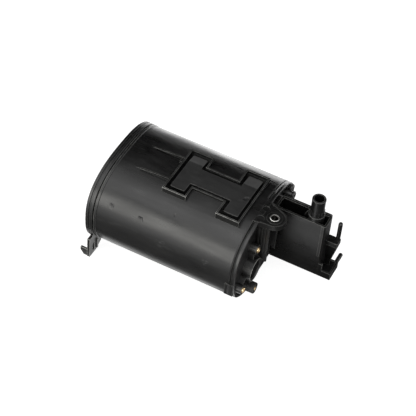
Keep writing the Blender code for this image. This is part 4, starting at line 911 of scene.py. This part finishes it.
def shade_by_angle(item):
    """Welds the loose facets and shades them, with modifiers alone."""
    weld = item.modifiers.new("weld", "WELD")
    weld.merge_threshold = WELD_DISTANCE
    item.modifiers.new("shade", "NODES").node_group = shading
    weighted = item.modifiers.new("weighted", "WEIGHTED_NORMAL")
    weighted.keep_sharp = True


for node in nodes.values():
    shade_by_angle(node)
print("shaded", len(nodes), "nodes")

# %% [markdown]
# ## The pad inside the H
#
# Inside the low wall of the raised H lies a pad with a coarser, paler skin, and a channel
# runs round it, darkened on the tank with painted shade. It could be cut out of a grid, but an
# outline that is rounded at its corners, filled and pushed up gives clean edges with few faces.
# Its far ends bend down with the tank and get a painted sheen. One small mark on it is a
# shallow dent with a dark stain.

# %% The pad's outline
PAD_INSET = 0.0056           # from the outside of the H's wall
PAD_NEAR_INSET = 0.0024      # more than that at the legs' near ends
PAD_CORNER = 0.0016
CORNER_STEPS = 5


def rounded_outline(points, radius):
    """Closed outline with every corner turned into an arc."""
    rounded = []
    count = len(points)
    for index in range(count):
        before, corner, after = (Vector(points[(index + move) % count]) for move in (-1, 0, 1))
        start = corner + (before - corner).normalized() * radius
        end = corner + (after - corner).normalized() * radius
        centre = start + end - corner
        for step in range(CORNER_STEPS + 1):
            turn = pi / 2 * step / CORNER_STEPS
            rounded.append(centre + (start - centre) * cos(turn) + (end - centre) * sin(turn))
    return rounded


def panel_outline(inset, near_inset):
    """The H from above, drawn in by an inset, and by another at the near ends of its legs."""
    (left, left_end), (bar, bar_end), (right, right_end) = PANEL_LEGS
    start, stop = left[0] + inset, right_end[0] - inset
    inner_left, inner_right = left_end[0] - inset, right[0] + inset
    near_left, near_right = left[1] + near_inset, right[1] + near_inset
    far_left, far_right = left_end[1] - inset, right_end[1] - inset
    bar_near, bar_far = bar[1] + inset, bar_end[1] - inset
    return [(start, near_left), (inner_left, near_left), (inner_left, bar_near),
            (inner_right, bar_near), (inner_right, near_right), (stop, near_right),
            (stop, far_right), (inner_right, far_right), (inner_right, bar_far),
            (inner_left, bar_far), (inner_left, far_left), (start, far_left)]


pad_outline = rounded_outline(panel_outline(PAD_INSET, PAD_INSET + PAD_NEAR_INSET), PAD_CORNER)
print("pad's outline has", len(pad_outline), "points")

# %% The pad's shape
PANEL_FLOOR = PANEL_TOP - 0.0016
PAD_RISE = 0.0007
PAD_SINK = 0.0020
PAD_EDGE = 0.0005
PAD_BEND_Y = 0.0147
PAD_BEND = 0.1333            # how much it falls for each unit along Y past the bend


def settle(elements, key):
    """Puts elements in a fixed order, because the bevel's own order varies from run to run."""
    for index, element in enumerate(sorted(elements, key=key)):
        element.index = index
    elements.sort()


def make_pad():
    """Fills the outline, pushes it up, breaks its upper edge and bends its far ends down."""
    shape = bmesh.new()
    base = shape.faces.new([shape.verts.new((x, y, PANEL_FLOOR - PAD_SINK))
                            for x, y in pad_outline])
    raised = bmesh.ops.extrude_face_region(shape, geom=[base])
    top = [item for item in raised["geom"] if isinstance(item, bmesh.types.BMVert)]
    bmesh.ops.translate(shape, vec=(0, 0, PAD_RISE + PAD_SINK), verts=top)
    rim = [edge for edge in shape.edges if all(vertex in top for vertex in edge.verts)]
    bmesh.ops.bevel(shape, geom=rim, offset=PAD_EDGE, segments=2, profile=0.5, affect="EDGES")
    bmesh.ops.triangulate(shape, faces=[face for face in shape.faces if len(face.verts) > 4])
    bmesh.ops.bisect_plane(shape, geom=shape.verts[:] + shape.edges[:] + shape.faces[:],
                           plane_co=(0, PAD_BEND_Y, 0), plane_no=(0, 1, 0))
    for vertex in shape.verts:
        vertex.co.z -= max(0.0, vertex.co.y - PAD_BEND_Y) * PAD_BEND
    bmesh.ops.recalc_face_normals(shape, faces=shape.faces[:])
    settle(shape.verts, lambda vertex: tuple(vertex.co))
    for elements in (shape.edges, shape.faces):
        settle(elements, lambda element: sorted(vertex.index for vertex in element.verts))
    mesh = bpy.data.meshes.new("panel_pad")
    shape.to_mesh(mesh)
    shape.free()
    return mesh


pad_mesh = make_pad()
print("the pad has", len(pad_mesh.vertices), "points")

# %% Set the pad in place
PAD_MARKS = (((0.1604, -0.0049, 0.0557), 0.0034), ((0.1622, -0.0025, 0.0557), 0.0026))
PAD_PLACES = {
    "dents": PAD_MARKS, "stains": PAD_MARKS,
    # a painted sheen on the pad's far ends, where they bend down
    "pale": (((0.0700, PAD_BEND_Y + REGION_FADE, 0.0400), (0.1750, 0.0500, 0.0600)),),
}


def add_piece(name, mesh):
    """A finished piece that moves with the canister."""
    piece = bpy.data.objects.new(name, mesh)
    bpy.context.scene.collection.objects.link(piece)
    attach(piece, "root")
    shade_by_angle(piece)
    print(name, len(mesh.polygons), "faces")


pad_nylon = black_nylon("pad_nylon", tone=0.0125, roughness=0.47, places=PAD_PLACES, grain=1.8,
                        uneven=0.03)
pad_mesh.materials.append(pad_nylon)
add_piece("panel_pad", pad_mesh)

# %% [markdown]
# ## What repeats: ribs, threads and the weld bead
#
# Small ribs stand round the foot of the spigot and round the lowest screw boss, the brass inserts
# have a thread inside, and the cap is welded to the tank with a bead that squeezes into the neck
# between them. Each follows a rule, so a short Geometry Nodes tree grows it from a few sizes:
# rods on a circle, a spiral swept with a round section, and an oval swept the same way.

# %% Helpers that grow a piece
def new_tree(name, counts, sizes):
    """A Geometry Nodes tree with named inputs: a geometry, some numbers and a material."""
    tree = bpy.data.node_groups.new(name, "GeometryNodeTree")
    kinds = {"Geometry": "NodeSocketGeometry"}
    kinds.update({label: "NodeSocketInt" for label in counts})
    kinds.update({label: "NodeSocketFloat" for label in sizes})
    kinds["Material"] = "NodeSocketMaterial"
    for label, kind in kinds.items():
        tree.interface.new_socket(label, in_out="INPUT", socket_type=kind)
    tree.interface.new_socket("Geometry", in_out="OUTPUT", socket_type="NodeSocketGeometry")
    return tree, tree.nodes.new("NodeGroupInput").outputs


def close_tree(tree, geometry, given):
    """Ends a tree: real geometry, smooth, with its material."""
    real = result(tree, "GeometryNodeRealizeInstances", {"Geometry": geometry})
    smooth = result(tree, "GeometryNodeSetShadeSmooth", {"Geometry": real, "Shade Smooth": True})
    painted = result(tree, "GeometryNodeSetMaterial", {
        "Geometry": smooth, "Material": given["Material"]})
    add_node(tree, "NodeGroupOutput", {"Geometry": painted})


def grow(name, tree, values, placement=None, seed_mesh=None):
    """Runs a tree, keeps what it made as a plain mesh, and sets that mesh in its place."""
    maker = bpy.data.objects.new(name + "_maker", seed_mesh or bpy.data.meshes.new(name + "_seed"))
    bpy.context.scene.collection.objects.link(maker)
    modifier = maker.modifiers.new("grow", "NODES")
    modifier.node_group = tree
    for socket in tree.interface.items_tree:
        if socket.in_out == "INPUT" and socket.name in values:
            modifier[socket.identifier] = values[socket.name]
    depsgraph = bpy.context.evaluated_depsgraph_get()
    mesh = bpy.data.meshes.new_from_object(maker.evaluated_get(depsgraph))
    bpy.data.objects.remove(maker)
    mesh.name = name
    if placement is not None:
        mesh.transform(placement)
    add_piece(name, mesh)


# %% A tree for ribs
ROD_SIDES = 10


def ribs_tree():
    """Round rods that stand side by side on a circle."""
    tree, given = new_tree("ribs_on_circle", ["Count"], ["Ring Radius", "Rib Radius", "Length"])
    ring = result(tree, "GeometryNodeMeshCircle", {
        "Vertices": given["Count"], "Radius": given["Ring Radius"]})
    rod = result(tree, "GeometryNodeMeshCylinder", {
        "Vertices": ROD_SIDES, "Radius": given["Rib Radius"], "Depth": given["Length"]})
    rods = result(tree, "GeometryNodeInstanceOnPoints", {"Points": ring, "Instance": rod})
    close_tree(tree, rods, given)
    return tree


ribs = ribs_tree()
print(ribs.name, "has", len(ribs.nodes), "nodes")

# %% Ribs round the spigot and the lowest boss
SPIGOT_AXIS = (0.2353, 0.0212)       # X and Y
FLUTE_SPAN = (0.0506, 0.0574)        # along Z
LOWEST_BOSS = (-0.0376, -0.0394)     # Y and Z
KNURL_SPAN = (0.1866, 0.1974)        # along X
TO_X = Matrix.Rotation(pi / 2, 4, "Y")

rib_nylon = black_nylon("rib_nylon", tone=0.0030, roughness=0.36, grain=0.5, streaks=0.3,
                        wear_and_light=0.0)
spigot_middle = Matrix.Translation((*SPIGOT_AXIS, sum(FLUTE_SPAN) / 2))
boss_middle = Matrix.Translation((sum(KNURL_SPAN) / 2, *LOWEST_BOSS))
grow("spigot_flutes", ribs, {
    "Count": 14, "Ring Radius": 0.0078, "Rib Radius": 0.0007,
    "Length": FLUTE_SPAN[1] - FLUTE_SPAN[0], "Material": rib_nylon},
    spigot_middle)
grow("boss_knurl", ribs, {
    "Count": 26, "Ring Radius": 0.0062, "Rib Radius": 0.0005,
    "Length": KNURL_SPAN[1] - KNURL_SPAN[0], "Material": rib_nylon},
    boss_middle @ TO_X)

# %% A tree for threads
STEPS_A_TURN = 24
RIDGE_SIDES = 6


def thread_tree():
    """A spiral swept with a small round section."""
    tree, given = new_tree("thread", [], ["Turns", "Thread Radius", "Length", "Ridge"])
    spiral = result(tree, "GeometryNodeCurveSpiral", {
        "Resolution": STEPS_A_TURN, "Rotations": given["Turns"],
        "Start Radius": given["Thread Radius"], "End Radius": given["Thread Radius"],
        "Height": given["Length"]})
    section = result(tree, "GeometryNodeCurvePrimitiveCircle", {
        "Resolution": RIDGE_SIDES, "Radius": given["Ridge"]})
    swept = result(tree, "GeometryNodeCurveToMesh", {
        "Curve": spiral, "Profile Curve": section, "Fill Caps": True})
    close_tree(tree, swept, given)
    return tree


thread = thread_tree()
print(thread.name, "has", len(thread.nodes), "nodes")

# %% Threads in the brass inserts
THREAD_LENGTH = 0.0050
THREAD_PITCH = 0.0007
THREAD_RADIUS = 0.0021
THREAD_RIDGE = 0.00022
THREAD_SETBACK = 0.0005

for name in insert_names:
    low, high = (Vector(corner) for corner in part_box(name))
    middle = (low + high) / 2
    mouth = Matrix.Translation((high.x - THREAD_SETBACK, middle.y, middle.z))
    grow("thread_" + name.removeprefix("vent_insert_"), thread, {
        "Turns": THREAD_LENGTH / THREAD_PITCH, "Thread Radius": THREAD_RADIUS,
        "Length": THREAD_LENGTH, "Ridge": THREAD_RIDGE, "Material": brass},
        mouth @ TO_X.inverted())

# %% A tree for the weld bead
BEAD_RIPPLES = 240.0         # ripples a metre
BEAD_SIDES = 8


def bead_tree():
    """A closed line, unsettled a little by noise, swept with a round section."""
    tree, given = new_tree("weld_bead", ["Steps"], ["Bead", "Unevenness"])
    line = result(tree, "GeometryNodeMeshToCurve", {"Mesh": given["Geometry"]})
    line = result(tree, "GeometryNodeResampleCurve", {"Curve": line, "Count": given["Steps"]})
    waves = result(tree, "ShaderNodeTexNoise", {
        "Vector": result(tree, "GeometryNodeInputPosition"), "Scale": BEAD_RIPPLES,
        "Detail": 1.0}, "Color")
    off = vector_maths(tree, "SUBTRACT", waves, (0.5, 0.5, 0.5))
    off = vector_maths(tree, "SCALE", off, given["Unevenness"])
    line = result(tree, "GeometryNodeSetPosition", {"Geometry": line, "Offset": off})
    section = result(tree, "GeometryNodeCurvePrimitiveCircle", {
        "Resolution": BEAD_SIDES, "Radius": given["Bead"]})
    swept = result(tree, "GeometryNodeCurveToMesh", {"Curve": line, "Profile Curve": section})
    close_tree(tree, swept, given)
    return tree


bead = bead_tree()
print(bead.name, "has", len(bead.nodes), "nodes")

# %% The weld bead in the neck
NECK_X = 0.0099
NECK_HALF_WIDTH, NECK_HALF_HEIGHT = 0.0741, 0.0531
OVAL_POWER = 2.55
OVAL_STEPS = 160


def oval_line(x, half_width, half_height):
    """The tank's oval as a closed line of edges at one X."""
    points = []
    for step in range(OVAL_STEPS):
        turn = 2 * pi * step / OVAL_STEPS
        across, up = cos(turn), sin(turn)
        points.append((
            x, half_width * abs(across) ** (2 / OVAL_POWER) * (1 if across > 0 else -1),
            half_height * abs(up) ** (2 / OVAL_POWER) * (1 if up > 0 else -1)))
    edges = [(step, (step + 1) % OVAL_STEPS) for step in range(OVAL_STEPS)]
    mesh = bpy.data.meshes.new("neck_line")
    mesh.from_pydata(points, edges, [])
    return mesh


bead_nylon = black_nylon("bead_nylon", tone=0.0022, roughness=0.40, grain=0.6, streaks=0.0)
grow("weld_bead", bead, {
    "Steps": 420, "Bead": 0.00042, "Unevenness": 0.00035, "Material": bead_nylon},
    seed_mesh=oval_line(NECK_X, NECK_HALF_WIDTH, NECK_HALF_HEIGHT))
